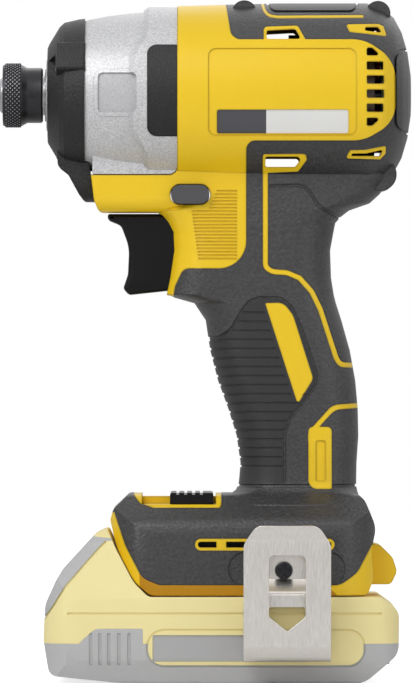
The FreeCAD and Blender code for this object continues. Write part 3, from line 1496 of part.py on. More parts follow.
def belt_hook():
    """The bent strip, from an outline stepped half its thickness to each side of its path, and its screw."""
    path = hook_path()
    last = len(path) - 1
    left_side = []
    right_side = []
    half = HOOK_T / 2
    for i, (y, z, r) in enumerate(path):
        a = path[max(i - 1, 0)]
        b = path[min(i + 1, last)]
        d1 = VEC(y - a[0], z - a[1], 0)
        d2 = VEC(b[0] - y, b[1] - z, 0)
        d1 = (d2 if i == 0 else d1).normalize()
        d2 = (d1 if i == last else d2).normalize()
        n1 = VEC(-d1.y, d1.x, 0)
        n2 = VEC(-d2.y, d2.x, 0)
        mitre = (n1 + n2).normalize()
        reach = half / max(0.3, mitre.dot(n1))
        bend = d1.cross(d2).z
        outer_r = r + half if bend < 0 else max(r - half, 0)
        inner_r = r - half if bend < 0 else r + half
        left_side.append((y + mitre.x * reach, z + mitre.y * reach, outer_r if r else 0))
        right_side.append((y - mitre.x * reach, z - mitre.y * reach, max(inner_r, 0) if r else 0))
    x0 = HOOK_X0
    x1 = HOOK_X0 + HOOK_W
    strip = front_slab(left_side + right_side[::-1], x0, x1)
    outer_y = path[4][0]
    face = side_slab(
        [
            (x0, 0, 0),
            (x1, 0, 0),
            (x1, HOOK_TOP_Z - 6.2, 5),
            (x1 - 4.2, HOOK_TOP_Z + 0.05, 5),
            (x0 + 4.2, HOOK_TOP_Z + 0.05, 5),
            (x0, HOOK_TOP_Z - 6.2, 5),
        ],
        -80,
        outer_y + 4,
    )
    tab_face = side_slab(
        [
            (x0, 0, 0),
            (x1, 0, 0),
            (x1, 24.0, 0),
            (x1 - 5.0, 33.0, 2),
            (x1 - 7.0, HOOK_SCREW_Z + 6.1, 3),
            (x0 + 5.4, HOOK_SCREW_Z + 6.1, 3),
            (x0 + 4.0, 33.0, 2),
            (x0, 24.0, 0),
        ],
        outer_y + 4,
        0,
    )
    strip = strip.common(face.fuse(tab_face))
    middle = (x0 + x1) / 2
    window = side_slab(
        [
            (middle - 6.0, 42.6, 1.6),
            (middle - 6.0, 22.6, 1.0),
            (middle, 17.8, 1.2),
            (middle + 6.0, 22.6, 1.0),
            (middle + 6.0, 42.6, 1.6),
        ],
        -80,
        outer_y + 4,
    )
    lower_window = side_slab(
        [
            (middle - 6.0, 25.4, 1.0),
            (middle - 6.0, 22.6, 1.0),
            (middle, 15.0, 1.2),
            (middle + 6.0, 22.6, 1.0),
            (middle + 6.0, 25.4, 1.0),
        ],
        outer_y + 4,
        -PACK_HALF_W - 0.5,
    )
    hole = peg(HOOK_SCREW_X, HOOK_SCREW_Z, -50, 0, 2.15)
    keep("belt_hook", biggest(strip.cut(window).cut(lower_window).cut(hole)))

    seat = -FOOT_HALF_W + 0.4 - HOOK_T - SEAT_GAP
    head = peg(HOOK_SCREW_X, HOOK_SCREW_Z, seat - 2.2, seat, HOOK_HEAD_R)
    head = rounded_edges(head, 0.7, lambda e: e.BoundBox.YMax < seat - 2.1)
    slots = []
    for dx, dz in ((0.6, 2.0), (2.0, 0.6)):
        x, z = HOOK_SCREW_X, HOOK_SCREW_Z
        slots.append(box(x - dx, x + dx, seat - 3, seat - 0.9, z - dz, z + dz))
    shank = peg(HOOK_SCREW_X, HOOK_SCREW_Z, seat - 0.3, -INSERT_IN_Y - 0.3, 1.95)
    keep("hook_screw", biggest(cut_all(head.fuse(shank), slots)))


# ---- battery pack --------------------------------------------------------------------------------


def pack_outer(inset):
    """The pack's closed outer form: a low box with a raised head in front of the tool's foot."""
    half = PACK_HALF_W - inset
    gap = FIT_GAP
    head = [(x - gap - inset, z, r) for x, z, r in FOOT_FRONT[1:]]
    side = side_slab(
        [
            (PACK_FRONT_X + 30.0, inset, 30.0),
            (PACK_FRONT_X + 2.0 + inset, 2.9 + inset, 3.2),
            (PACK_FRONT_X + inset, 14.5, 8.0),
            (PACK_FRONT_X + 0.6 + inset, 26.0, 10.0),
            (PACK_FRONT_X + 5.0 + inset, 35.6, 14.0),
            (-41.8 + inset, 48.9 - inset, 4.0),
            (-38.0 - inset, PACK_HEAD_Z - inset, 1.0),
        ]
        + head
        + [
            (-24.6 - inset, PACK_DECK_Z - inset, 3.0),
            (PACK_BACK_X - 6.4, PACK_DECK_Z - inset, 2.0),
            (PACK_BACK_X - inset, 24.0, 5.0),
            (PACK_BACK_X - 0.2 - inset, 10.0, 6.0),
            (PACK_BACK_X - 12.0, inset, 11.0),
        ],
        -half,
        half,
    )
    plan = plan_slab(
        [
            (PACK_FRONT_X + inset, -half, 11.0),
            (PACK_BACK_X - inset, -half, 9.0),
            (PACK_BACK_X - inset, half, 9.0),
            (PACK_FRONT_X + inset, half, 11.0),
        ],
        -5,
        80,
    )
    front = front_slab(
        [
            (-half + 3.2, inset, 2.5),
            (half - 3.2, inset, 2.5),
            (half, 8.0, 4.0),
            (half, PACK_DECK_Z - inset - 1.0, 4.0),
            (half - 6.0, PACK_HEAD_Z - inset, 9.0),
            (-half + 6.0, PACK_HEAD_Z - inset, 9.0),
            (-half, PACK_DECK_Z - inset - 1.0, 4.0),
            (-half, 8.0, 4.0),
        ],
        -80,
        80,
    )
    return side.common(plan).common(front)


PACK_SKIN = 1.1  # how deep the side plate and the grip ears are let into the other half
PACK_PILL = (-24.7, 45.6, 6.4, 17.6, 5.2)
PACK_LABEL = (-23.2, 30.0, 7.6, 16.2, 1.2)
PACK_LABEL_DEPTH = 0.4
PACK_EAR = [(-48.0, 10.0, 0), (-47.4, 13.4, 3), (-42.0, 18.3, 4), (-26.4, 18.3, 0.6), (-26.4, 10.0, 0)]
PACK_GRIPS = (-43.4, -40.4, -37.5, -34.2, -30.9)
PACK_LINE_Z = 23.2
PACK_LINE_W = 0.6
PACK_FRONT_EDGE = [(-38.5, 46.6), (-40.8, 44.4), (-44.8, 39.9), (-51.8, 31.8), (-55.6, 25.6), (-58.6, 21.4)]
PACK_SCREW_Z = 6.6  # underside of the pack screws' heads
PACK_SCREW_INSET = 8.4  # from the pack's side to the screws' centres


def latch_frame():
    """Unit vectors down the pack's sloping front and into it."""
    top = VEC(-42.3, 0, 48.2)
    low = VEC(PACK_FRONT_X + 1.8, 0, 25.0)
    down = (low - top).normalize()
    inward = VEC(-down.z, 0, down.x)
    if inward.x < 0:
        inward = inward * -1
    return top, low, down, inward


def latch_slab(out, depth, trim, half):
    """The latch's place in the pack's front: proud by out, sunk by depth, short by trim at both ends."""
    top, low, down, inward = latch_frame()
    a = top + down * trim
    b = low - down * trim
    points = [a - inward * out, b - inward * out, b + inward * depth, a + inward * depth]
    return side_slab([(p.x, p.z, 0.8) for p in points], -half, half)


def battery_pack():
    outer = pack_outer(0)
    hollow = pack_outer(PACK_WALL)
    rails = box(-26.0, 30.0, -RAIL_HALF_W, RAIL_HALF_W, PACK_DECK_Z - 1.0, RAIL_TOP_Z - 0.1)
    depth = LATCH_THICK + LATCH_TRAVEL + 1.1
    pocket = latch_slab(10, depth, 0.4, LATCH_HALF_W + FIT_GAP)
    pocket_box = latch_slab(1.0, depth + 2.0, -1.6, LATCH_HALF_W + PACK_WALL)
    shell = fused([outer.cut(hollow), rails, pocket_box.common(hollow)]).cut(pocket)
    groove = [
        box(-24.0, 40, -RAIL_HALF_W - 1, -RAIL_HALF_W + 3.0, 30.5, 34.0),
        box(-24.0, 40, RAIL_HALF_W - 3.0, RAIL_HALF_W + 1, 30.5, 34.0),
    ]
    slots = [box(15.5, 32, y - 1.1, y + 1.1, 24.0, 40) for y in TERMINALS]
    gauge_hole = box(PACK_BACK_X - 6, PACK_BACK_X + 2, -4.3, 4.3, 15.2, 19.8)
    lens_holes = [box(PACK_BACK_X - 6, PACK_BACK_X + 2, y - 1.3, y + 1.3, 20.9, 22.5) for y in (-4, 0, 4)]
    shell = cut_all(shell, groove + slots + [gauge_hole] + lens_holes)

    skin = outer.cut(pack_outer(PACK_SKIN))
    plate = panel(*PACK_PILL).common(skin)
    ear = side_slab(PACK_EAR, -60, 60).common(skin)
    shell = cut_all(shell, [panel(*PACK_LABEL).cut(pack_outer(PACK_LABEL_DEPTH))])
    ridges = [box(x - 0.5, x + 0.5, -60, 60, 6.6, 16.8) for x in PACK_GRIPS]
    ridges.append(box(PACK_FRONT_X + 8, PACK_BACK_X - 6, -60, 60, PACK_LINE_Z - 0.35, PACK_LINE_Z + 0.35))
    x0, x1, z0, z1, r = PACK_PILL
    wide = panel(x0 - PACK_LINE_W, x1 + PACK_LINE_W, z0 - PACK_LINE_W, z1 + PACK_LINE_W, r + PACK_LINE_W)
    lines = [wide.cut(panel(*PACK_PILL)), stripe(PACK_FRONT_EDGE, PACK_LINE_W)]
    shell = shell.cut(Part.makeCompound(ridges + lines).cut(pack_outer(PACK_LABEL_DEPTH)))
    lower_zone = box(-100, 100, -60, 60, -10, PACK_SPLIT_Z).cut(plate).fuse(ear)
    screw_y = PACK_HALF_W - PACK_SCREW_INSET
    bosses = [(x, y) for x in (-51.0, 51.6) for y in (-screw_y, screw_y)]
    posts = fused([Part.makeCylinder(3.2, 22.0, VEC(x, y, 1.0), VEC(0, 0, 1)) for x, y in bosses])
    shell = fused([shell, posts.common(hollow)])
    drill = [Part.makeCylinder(1.3, 14.5, VEC(x, y, PACK_SCREW_Z), VEC(0, 0, 1)) for x, y in bosses]
    sink = [Part.makeCylinder(2.9, PACK_SCREW_Z + 2.0, VEC(x, y, -1.0), VEC(0, 0, 1)) for x, y in bosses]
    shell = cut_all(shell, drill + sink)
    cradle = [peg(cell_x(i), cell_z(), -36, 36, CELL_R + FIT_GAP / 2) for i in range(CELLS)]
    saddle = fused([box(-47, 48, y - 1.2, y + 1.2, PACK_WALL - 0.5, 10.0) for y in (-22.0, 22.0)])
    shell = fused([shell, cut_all(saddle, cradle)])
    keep("pack_lower", biggest(shell.common(lower_zone)))
    keep("pack_upper", biggest(shell.cut(lower_zone)))

    screws = []
    for x, y in bosses:
        head = Part.makeCylinder(2.6, 1.0 - SEAT_GAP, VEC(x, y, PACK_SCREW_Z), VEC(0, 0, 1))
        body = Part.makeCylinder(1.25, 12.0, VEC(x, y, PACK_SCREW_Z + 0.8), VEC(0, 0, 1))
        socket = Part.makeCylinder(0.9, 1.0, VEC(x, y, PACK_SCREW_Z - 0.5), VEC(0, 0, 1))
        screws.append(head.fuse(body).cut(socket))
    keep("pack_screws", *screws)

    keep("pack_cells", *[cell(i) for i in range(CELLS)])
    straps = []
    strap_y = CELL_LEN / 2 + SEAT_GAP
    for i in range(CELLS - 1):
        y0 = strap_y if i % 2 else -strap_y - STRAP_T
        straps.append(box(cell_x(i) - 4, cell_x(i + 1) + 4, y0, y0 + STRAP_T, cell_z() - 3.5, cell_z() + 3.5))
    keep("cell_straps", *straps)
    clips = []
    for y in TERMINALS:
        for side in (-1, 1):
            a = y + side * 0.45
            b = y + side * 0.95
            clips.append(box(17.0, 26.0, min(a, b), max(a, b), 25.25, 35.8))
    keep("pack_board", box(-20, 28, -19, 19, 24.0, 25.2), *clips)

    keep("pack_latch", latch_slab(0.5, LATCH_THICK, 1.0, LATCH_HALF_W))
    top, low, _, inward = latch_frame()
    middle = (top + low) * 0.5 + inward * (LATCH_THICK + SEAT_GAP)
    coils = []
    for y in (-8.0, 8.0):
        foot = middle + VEC(0, y, 0)
        bore = Part.makeCylinder(1.9, 5, foot - inward, inward)
        coils.append(Part.makeCylinder(2.6, LATCH_TRAVEL + 1.0, foot, inward).cut(bore))
    keep("latch_springs", *coils)
    button = box(PACK_BACK_X - 2.4, PACK_BACK_X + 0.3, -4.0, 4.0, 15.5, 19.5)
    keep("gauge_button", button)
    lenses = [box(PACK_BACK_X - 3.35, PACK_BACK_X - 0.4, y - 1.2, y + 1.2, 21.0, 22.4) for y in (-4, 0, 4)]
    keep("gauge_leds", box(PACK_BACK_X - 4.4, PACK_BACK_X - 3.4, -9, 9, 15.0, 23.4), *lenses)


def cell_x(i):
    return -38.6 + (2 * CELL_R + 0.5) * i


def cell_z():
    return PACK_WALL + 1.3 + CELL_R


def cell(i):
    body = peg(cell_x(i), cell_z(), -CELL_LEN / 2, CELL_LEN / 2, CELL_R)
    return rounded_edges(body, 0.8, lambda e: e.BoundBox.YLength < 0.01)


# ---- build ---------------------------------------------------------------------------------------


def main():
    housing()
    housing_screws()
    gearcase()
    nose_boot()
    anvil()
    chuck_sleeve()
    hammer()
    spindle()
    gears()
    motor_frame()
    stator()
    rotor()
    trigger()
    reverse_button()
    mode_selector()
    electronics()
    tool_terminals()
    wiring()
    belt_hook()
    battery_pack()
    os.makedirs("parts", exist_ok=True)
    for name, solids in PARTS.items():
        shape = solids[0] if len(solids) == 1 else Part.makeCompound(solids)
        shape.exportStep("parts/%s.step" % name)
        print(name, len(solids), "solids, volume %.0f mm3" % sum(s.Volume for s in solids))
    print(len(PARTS), "nodes")


main()
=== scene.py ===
import json
import math

import bpy
from bpy.props import FloatProperty, IntProperty, PointerProperty, StringProperty
from mathutils import Matrix, Vector


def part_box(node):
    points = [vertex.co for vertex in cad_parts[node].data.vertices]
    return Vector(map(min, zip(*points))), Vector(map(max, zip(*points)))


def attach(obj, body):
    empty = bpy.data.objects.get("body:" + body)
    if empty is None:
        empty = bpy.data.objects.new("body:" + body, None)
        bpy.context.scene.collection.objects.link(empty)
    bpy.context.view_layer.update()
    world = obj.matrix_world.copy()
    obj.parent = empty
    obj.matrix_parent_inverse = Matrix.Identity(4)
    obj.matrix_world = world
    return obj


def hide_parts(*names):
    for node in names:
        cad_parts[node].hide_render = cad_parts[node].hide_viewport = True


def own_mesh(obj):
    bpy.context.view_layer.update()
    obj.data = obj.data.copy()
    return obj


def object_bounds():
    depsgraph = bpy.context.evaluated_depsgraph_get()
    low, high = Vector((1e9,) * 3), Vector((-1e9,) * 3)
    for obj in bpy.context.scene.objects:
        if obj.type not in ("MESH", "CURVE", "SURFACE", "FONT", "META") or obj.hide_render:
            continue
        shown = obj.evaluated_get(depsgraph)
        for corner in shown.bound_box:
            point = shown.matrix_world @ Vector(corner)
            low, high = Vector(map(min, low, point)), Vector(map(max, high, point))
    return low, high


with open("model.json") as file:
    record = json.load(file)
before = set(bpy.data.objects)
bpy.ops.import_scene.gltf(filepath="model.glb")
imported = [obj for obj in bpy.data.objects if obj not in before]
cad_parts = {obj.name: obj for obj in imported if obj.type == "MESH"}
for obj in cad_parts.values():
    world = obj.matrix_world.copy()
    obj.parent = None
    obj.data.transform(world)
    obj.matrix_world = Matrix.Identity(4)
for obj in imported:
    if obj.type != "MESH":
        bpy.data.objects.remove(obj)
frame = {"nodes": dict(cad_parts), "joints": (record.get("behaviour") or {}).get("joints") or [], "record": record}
CAD_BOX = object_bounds()

bl_info = {
    "name": "Cordless impact driver",
    "version": (1, 0, 0),
    "blender": (4, 5, 0),
    "location": "3D View > Sidebar > Impact driver",
    "description": "Finishes, mouldings and studio for a cordless impact driver with its battery pack",
    "category": "Object",
}

MM = 0.001
AXIS_Z = frame["joints"][0]["pos_m"][2]  # height of the spindle axis

NODES = frame["nodes"]
BODY_OF = {node: body for body, nodes in frame["record"]["behaviour"]["bodies"].items() for node in nodes}


# ---- sizes and colours ---------------------------------------------------------------------------


class ShellSettings(bpy.types.PropertyGroup):
    nylon: StringProperty(name="Nylon", description="Colour of the bare housing", default="#F3CB1C")
    # The rim colour is a painted shade: the nylon's yellow as it looks in shadow.
    rim: StringProperty(
        name="Foot rim", description="Colour of the handled rim of the foot", default="#BF8A1A"
    )
    overmould: StringProperty(
        name="Overmould", description="Colour of the soft overmould", default="#313133"
    )
    grip_pad: StringProperty(
        name="Grip pad", description="Colour of the ribbed grip pads", default="#262628"
    )
    texture_size: FloatProperty(
        name="Texture", description="Width of the moulded spark texture", default=0.45 * MM, unit="LENGTH"
    )
    grain_size: FloatProperty(
        name="Grain",
        description="Width of the overmould's leather-like grain",
        default=1.0 * MM,
        unit="LENGTH",
    )


class LabelSettings(bpy.types.PropertyGroup):
    dark: StringProperty(
        name="Dark field", description="Colour of the name plate's dark end", default="#4A4A50"
    )
    light: StringProperty(
        name="Light field", description="Colour of the name plate's light end", default="#E6E6E4"
    )


class NoseSettings(bpy.types.PropertyGroup):
    casting: StringProperty(
        name="Casting", description="Colour of the painted gearcase", default="#CFCFD1"
    )
    rubber: StringProperty(name="Bumper", description="Colour of the nose bumper", default="#1A1A1C")
    badge: StringProperty(
        name="Badge field", description="Colour of the gearcase's bare badge fields", default="#BCBCBF"
    )
    bumper_grain: FloatProperty(
        name="Bumper grain",
        description="Width of the grain on the bumper and side pads",
        default=0.7 * MM,
        unit="LENGTH",
    )
    speckle_size: FloatProperty(
        name="Speckle",
        description="Width of the flecks in the gearcase's paint",
        default=0.5 * MM,
        unit="LENGTH",
    )


class ChuckSettings(bpy.types.PropertyGroup):
    black_oxide: StringProperty(
        name="Black oxide", description="Colour of the blackened collar", default="#3A3A3D"
    )
    knurl_count: IntProperty(name="Knurl count", description="Diamonds round the collar", default=46)
    knurl_rows: IntProperty(name="Knurl rows", description="Rows of diamonds along the collar", default=7)
    knurl_height: FloatProperty(
        name="Knurl height", description="How far each diamond stands up", default=0.42 * MM, unit="LENGTH"
    )


class HookSettings(bpy.types.PropertyGroup):
    steel: StringProperty(name="Steel", description="Colour of the plated steel", default="#E6E2DD")


class PackSettings(bpy.types.PropertyGroup):
    yellow: StringProperty(
        name="Pack top", description="Colour of the pack's upper moulding", default="#F2D44C"
    )
    grey: StringProperty(
        name="Pack base", description="Colour of the pack's lower moulding", default="#747476"
    )
    label: StringProperty(
        name="Pack label", description="Colour of the pack's bare label", default="#606063"
    )
    fade: FloatProperty(
        name="Fade", description="How far the pack's colours are bleached towards white", default=0.52,
        min=0.0, max=1.0, subtype="FACTOR",
    )


class DriveSettings(bpy.types.PropertyGroup):
    steel: StringProperty(
        name="Gear steel", description="Colour of the hardened parts", default="#8F8F93"
    )
    copper: StringProperty(
        name="Copper", description="Colour of the enamelled windings", default="#B5622B"
    )
    board: StringProperty(name="Board", description="Colour of the circuit boards", default="#14532F")


class StageSettings(bpy.types.PropertyGroup):
    lens: FloatProperty(name="Lens", description="Focal length of the camera in mm", default=500.0)
    view_height: FloatProperty(
        name="View height", description="Height of what the camera sees", default=225.4 * MM, unit="LENGTH"
    )
    ambient: FloatProperty(
        name="Ambient", description="Brightness of the surrounding light", default=0.42
    )
    key: FloatProperty(name="Key", description="Power of the main lamp in watts", default=3.1)
    fill: FloatProperty(name="Fill", description="Power of the fill lamp in watts", default=0.9)
    low: FloatProperty(
        name="Low fill", description="Power of the lamp near the floor in watts", default=0.4
    )


SETTINGS = {
    "driver_shell": ShellSettings,
    "driver_label": LabelSettings,
    "driver_nose": NoseSettings,
    "driver_chuck": ChuckSettings,
    "driver_hook": HookSettings,
    "driver_pack": PackSettings,
    "driver_drive": DriveSettings,
    "driver_stage": StageSettings,
}


# ---- materials -----------------------------------------------------------------------------------


def linear(colour, fade=0.0):
    """Linear RGBA for an sRGB hex colour, bleached towards white by fade."""
    channels = [int(colour[i : i + 2], 16) / 255 for i in (1, 3, 5)]
    channels = [c + (1 - c) * fade for c in channels]
    return tuple(c / 12.92 if c <= 0.04045 else ((c + 0.055) / 1.055) ** 2.4 for c in channels) + (1.0,)


def add_node(tree, kind, inputs=None, **settings):
    """Adds one node, sets it up, and links or sets its inputs."""
    added = tree.nodes.new(kind)
    for name, value in settings.items():
        setattr(added, name, value)
    for name, value in (inputs or {}).items():
        if isinstance(value, bpy.types.NodeSocket):
            tree.links.new(value, added.inputs[name])
        else:
            added.inputs[name].default_value = value
    return added


def shader_of(name, **inputs):
    """A new material and its shader, with plain values on the shader's own sockets."""
    material = bpy.data.materials.new(name)
    material.use_nodes = True
    shader = material.node_tree.nodes["Principled BSDF"]
    for socket, value in inputs.items():
        shader.inputs[socket.replace("_", " ")].default_value = value
    return material, material.node_tree, shader


def place_of(tree, stretch=(1, 1, 1)):
    """Object coordinates, stretched along each axis."""
    where = add_node(tree, "ShaderNodeTexCoord").outputs["Object"]
    return add_node(tree, "ShaderNodeMapping", {"Vector": where, "Scale": stretch}).outputs["Vector"]


def noise(tree, size, detail=2.0, stretch=(1, 1, 1)):
    """Noise whose lumps are about size metres wide."""
    spots = {"Vector": place_of(tree, stretch), "Scale": 1.0 / size, "Detail": detail}
    return add_node(tree, "ShaderNodeTexNoise", spots).outputs["Fac"]


def graded(tree, fac, low, high, at=(0.3, 0.7)):
    """A colour ramp from low to high."""
    ramp = add_node(tree, "ShaderNodeValToRGB", {"Fac": fac})
    for element, colour, where in zip(ramp.color_ramp.elements, (low, high), at):
        element.color = colour
        element.position = where
    return ramp.outputs["Color"]


def shade(colour, factor):
    """colour made lighter or darker by factor."""
    return tuple(min(1.0, c * factor) for c in colour[:3]) + (1.0,)


EDGE_ROUND = 0.3 * MM  # radius that every finish puts on sharp edges


def relief(tree, shader, height, depth):
    """Bump of the given depth in metres on the shader, over slightly rounded edges."""
    round_edges = add_node(tree, "ShaderNodeBevel", {"Radius": EDGE_ROUND}, samples=4).outputs["Normal"]
    bump = {"Height": height, "Distance": depth, "Strength": 1.0, "Normal": round_edges}
    tree.links.new(add_node(tree, "ShaderNodeBump", bump).outputs["Normal"], shader.inputs["Normal"])


def roughened(tree, shader, lumps, rough, spread):
    """Roughness that varies by spread either side of rough, with the lumps."""
    ends = {"Value": lumps, "To Min": rough - spread, "To Max": rough + spread}
    rougher = add_node(tree, "ShaderNodeMapRange", ends).outputs["Result"]
    tree.links.new(rougher, shader.inputs["Roughness"])


EDGE_SHADE_WIDTH = 1.0 * MM  # width of the band along an edge that gets a painted shade
EDGE_COSINE = 0.9  # rounded against true normal, at the edge itself
OPEN_COSINE = 0.995  # the same where the surface counts as open


def open_surface(tree):
    """1 on open surface, falling to 0 along sharp edges."""
    rounded = add_node(tree, "ShaderNodeBevel", {"Radius": EDGE_SHADE_WIDTH}, samples=8).outputs["Normal"]
    faced = add_node(tree, "ShaderNodeNewGeometry").outputs["Normal"]
    same = add_node(tree, "ShaderNodeVectorMath", {0: rounded, 1: faced}, operation="DOT_PRODUCT")
    turned = {"Value": same.outputs["Value"], "From Min": EDGE_COSINE, "From Max": OPEN_COSINE}
    return add_node(tree, "ShaderNodeMapRange", turned).outputs["Result"]


BROAD_SIZE = 18 * MM  # width of the faint cloudiness in a moulding's colour
BROAD_SPREAD = 0.03


def moulded(name, colour, grain, depth, rough, spread=0.05, fade=0.0, mottle=0.10, sheen=0.5, edge=1.0):
    """A moulded plastic or rubber: its grain as bump, with roughness and colour that vary a little.

    Its colour is darkened to edge times itself along sharp edges: a painted shade for the grooves and gaps round
    the moulding.
    """
    material, tree, shader = shader_of(name, Roughness=rough, Specular_IOR_Level=sheen)
    base = linear(colour, fade)
    lumps = noise(tree, grain, 3.0)
    broad = noise(tree, BROAD_SIZE, 2.0)
    fine = graded(tree, lumps, shade(base, 1 - mottle), shade(base, 1 + mottle))
    wide = graded(tree, broad, shade(base, 1 - BROAD_SPREAD), shade(base, 1 + BROAD_SPREAD))
    mixed = add_node(tree, "ShaderNodeMix", {0: 0.5, 6: fine, 7: wide}, data_type="RGBA")
    # Painted shade: the base colour darkened along sharp edges.
    if edge < 1:
        along = {0: open_surface(tree), 6: shade(base, edge), 7: mixed.outputs[2]}
        mixed = add_node(tree, "ShaderNodeMix", along, data_type="RGBA")
    tree.links.new(mixed.outputs[2], shader.inputs["Base Color"])
    roughened(tree, shader, lumps, rough, spread)
    relief(tree, shader, lumps, depth)
    return material


def glass_filled_nylon():
    # Glass-filled nylon moulded in a spark-eroded tool: an even yellow with a fine matt sparkle, and a painted
    # shade along its sharp edges.
    look = bpy.context.scene.driver_shell
    name = "Glass_filled_nylon"
    return moulded(name, look.nylon, look.texture_size, 0.012 * MM, 0.38, mottle=0.04, sheen=0.42, edge=0.72)


def shaded_nylon():
    # The same nylon on the foot's rim, darker and more orange: a painted shade for the rim as it lies in shadow
    # under the overmould.
    look = bpy.context.scene.driver_shell
    return moulded("Handled_nylon", look.rim, look.texture_size, 0.012 * MM, 0.42, mottle=0.04, sheen=0.2)


def soft_overmould():
    # Thermoplastic rubber moulded over the nylon: charcoal, grained, with a broad dull sheen, and a deep painted
    # shade along its sharp edges.
    look = bpy.context.scene.driver_shell
    name = "Grained_thermoplastic_rubber"
    return moulded(name, look.overmould, look.grain_size, 0.24 * MM, 0.42, mottle=0.8, sheen=0.65, edge=0.12)


def grip_rubber():
    # The same rubber in the ribbed pads, where the tool was left smoother and it looks darker.
    look = bpy.context.scene.driver_shell
    name = "Smooth_thermoplastic_rubber"
    return moulded(name, look.grip_pad, look.texture_size, 0.02 * MM, 0.45, mottle=0.12)


def painted_casting():
    # Die-cast aluminium under silver hammer paint: pale, with light and dark flecks.
    look = bpy.context.scene.driver_nose
    material, tree, shader = shader_of("Painted_die_casting", Metallic=0.25, Roughness=0.42)
    base = linear(look.casting)
    flecks = noise(tree, look.speckle_size, 4.0)
    fleck = graded(tree, flecks, shade(base, 0.78), shade(base, 1.12), (0.38, 0.66))
    tree.links.new(fleck, shader.inputs["Base Color"])
    relief(tree, shader, flecks, 0.03 * MM)
    return material


def bumper_rubber():
    # Moulded nitrile rubber: near black and satin, with a fine leather grain, and a painted shade along its sharp
    # edges.
    look = bpy.context.scene.driver_nose
    name = "Moulded_nitrile_rubber"
    return moulded(name, look.rubber, look.bumper_grain, 0.3 * MM, 0.45, mottle=0.9, sheen=0.4, edge=0.2)


def badge_paint():
    # The badge fields in the casting, masked and sprayed a shade darker.
    look = bpy.context.scene.driver_nose
    return moulded("Masked_spray_paint", look.badge, look.speckle_size, 0.03 * MM, 0.4, mottle=0.3)


def label_dark():
    # Printed polyester film, dark end, left bare.
    look = bpy.context.scene.driver_label
    return moulded("Printed_film_dark", look.dark, 0.3 * MM, 0.002 * MM, 0.3, mottle=0.05)


def label_light():
    # Printed polyester film, light end, left bare.
    look = bpy.context.scene.driver_label
    return moulded("Printed_film_light", look.light, 0.3 * MM, 0.002 * MM, 0.3, mottle=0.03)


def satin_black_plastic():
    # Acetal moulding polished by use: deep black with a soft highlight.
    return moulded("Satin_acetal", "#0A0A0B", 0.3 * MM, 0.004 * MM, 0.3, mottle=0.08, sheen=0.22)


def dark_grey_plastic():
    # Acetal moulding in dark grey, textured.
    return moulded("Grey_acetal", "#4A4A4E", 0.35 * MM, 0.01 * MM, 0.4, mottle=0.1)


def metal(name, colour, rough, grain, depth, stretch=(1, 1, 1), spread=0.06, metallic=1.0):
    """A metal with marks of its making: grain is the marks' spacing, and stretch draws them out."""
    material, tree, shader = shader_of(name, Metallic=metallic, Roughness=rough)
    base = linear(colour)
    marks = noise(tree, grain, 3.0, stretch)
    tree.links.new(graded(tree, marks, shade(base, 0.9), shade(base, 1.08)), shader.inputs["Base Color"])
    roughened(tree, shader, marks, rough, spread)
    relief(tree, shader, marks, depth)
    return material


def black_oxide_steel():
    # Turned steel with a black oxide finish: dark, slightly oily, fine turning marks.
    look = bpy.context.scene.driver_chuck
    return metal("Black_oxide_steel", look.black_oxide, 0.3, 0.4 * MM, 0.004 * MM, (6, 1, 1), metallic=0.85)


def painted_highlight_points():
    # The knurl's points: a lighter steel on the black oxide, as a painted highlight on the diamonds' tops.
    return metal("Rubbed_steel", "#8C8C90", 0.35, 0.4 * MM, 0.002 * MM)


def ground_steel():
    # Hardened and ground steel: bright, with fine grinding lines round the axis.
    return metal("Ground_steel", "#B4B4B8", 0.24, 0.3 * MM, 0.002 * MM, (8, 1, 1))


def plated_steel():
    # Spring steel strip, rolled and nickel plated: warm and bright, with faint lengthwise rolling marks.
    look = bpy.context.scene.driver_hook
    name = "Nickel_plated_strip"
    return metal(name, look.steel, 0.25, 0.3 * MM, 0.0004 * MM, (1, 1, 0.1), spread=0.015, metallic=0.9)


def gear_steel():
    # Case-hardened steel, oiled: mid grey.
    look = bpy.context.scene.driver_drive
    return metal("Hardened_gear_steel", look.steel, 0.33, 0.5 * MM, 0.004 * MM)


def spring_wire():
    # Drawn spring wire: dull grey with lengthwise drawing marks.
    return metal("Drawn_spring_wire", "#86868A", 0.4, 0.4 * MM, 0.004 * MM)


def sintered_bronze():
    # Pressed and sintered bronze: porous and oily.
    return metal("Sintered_bronze", "#9B7A3E", 0.45, 0.25 * MM, 0.01 * MM)


def turned_brass():
    # Turned brass insert: yellow metal with knurling marks.
    return metal("Turned_brass", "#C9A65A", 0.3, 0.4 * MM, 0.006 * MM, (5, 1, 1))


WAVE_RATE = 20  # radians that a wave texture turns per unit of length, at scale 1


def banded(tree, spacing, **settings):
    """Parallel bands, one every spacing metres."""
    waves = {"Vector": place_of(tree), "Scale": 1.0 / (WAVE_RATE * spacing) * math.pi * 2}
    return add_node(tree, "ShaderNodeTexWave", waves, **settings).outputs["Fac"]


def laminations():
    # Stacked silicon steel sheets, half a millimetre thick: grey edges in fine bands.
    material, tree, shader = shader_of("Silicon_steel_laminations", Metallic=0.8, Roughness=0.45)
    bands = banded(tree, 0.5 * MM)
    base = linear("#77777C")
    tree.links.new(graded(tree, bands, shade(base, 0.6), base), shader.inputs["Base Color"])
    relief(tree, shader, bands, 0.05 * MM)
    return material


def enamelled_copper():
    # Copper wire under clear enamel, 0.8 mm thick, wound side by side.
    look = bpy.context.scene.driver_drive
    material, tree, shader = shader_of("Enamelled_copper_wire", Metallic=0.9, Roughness=0.3, Coat_Weight=0.6)
    turns = banded(tree, 0.8 * MM, bands_direction="DIAGONAL")
    base = linear(look.copper)
    tree.links.new(graded(tree, turns, shade(base, 0.45), base), shader.inputs["Base Color"])
    relief(tree, shader, turns, 0.2 * MM)
    return material


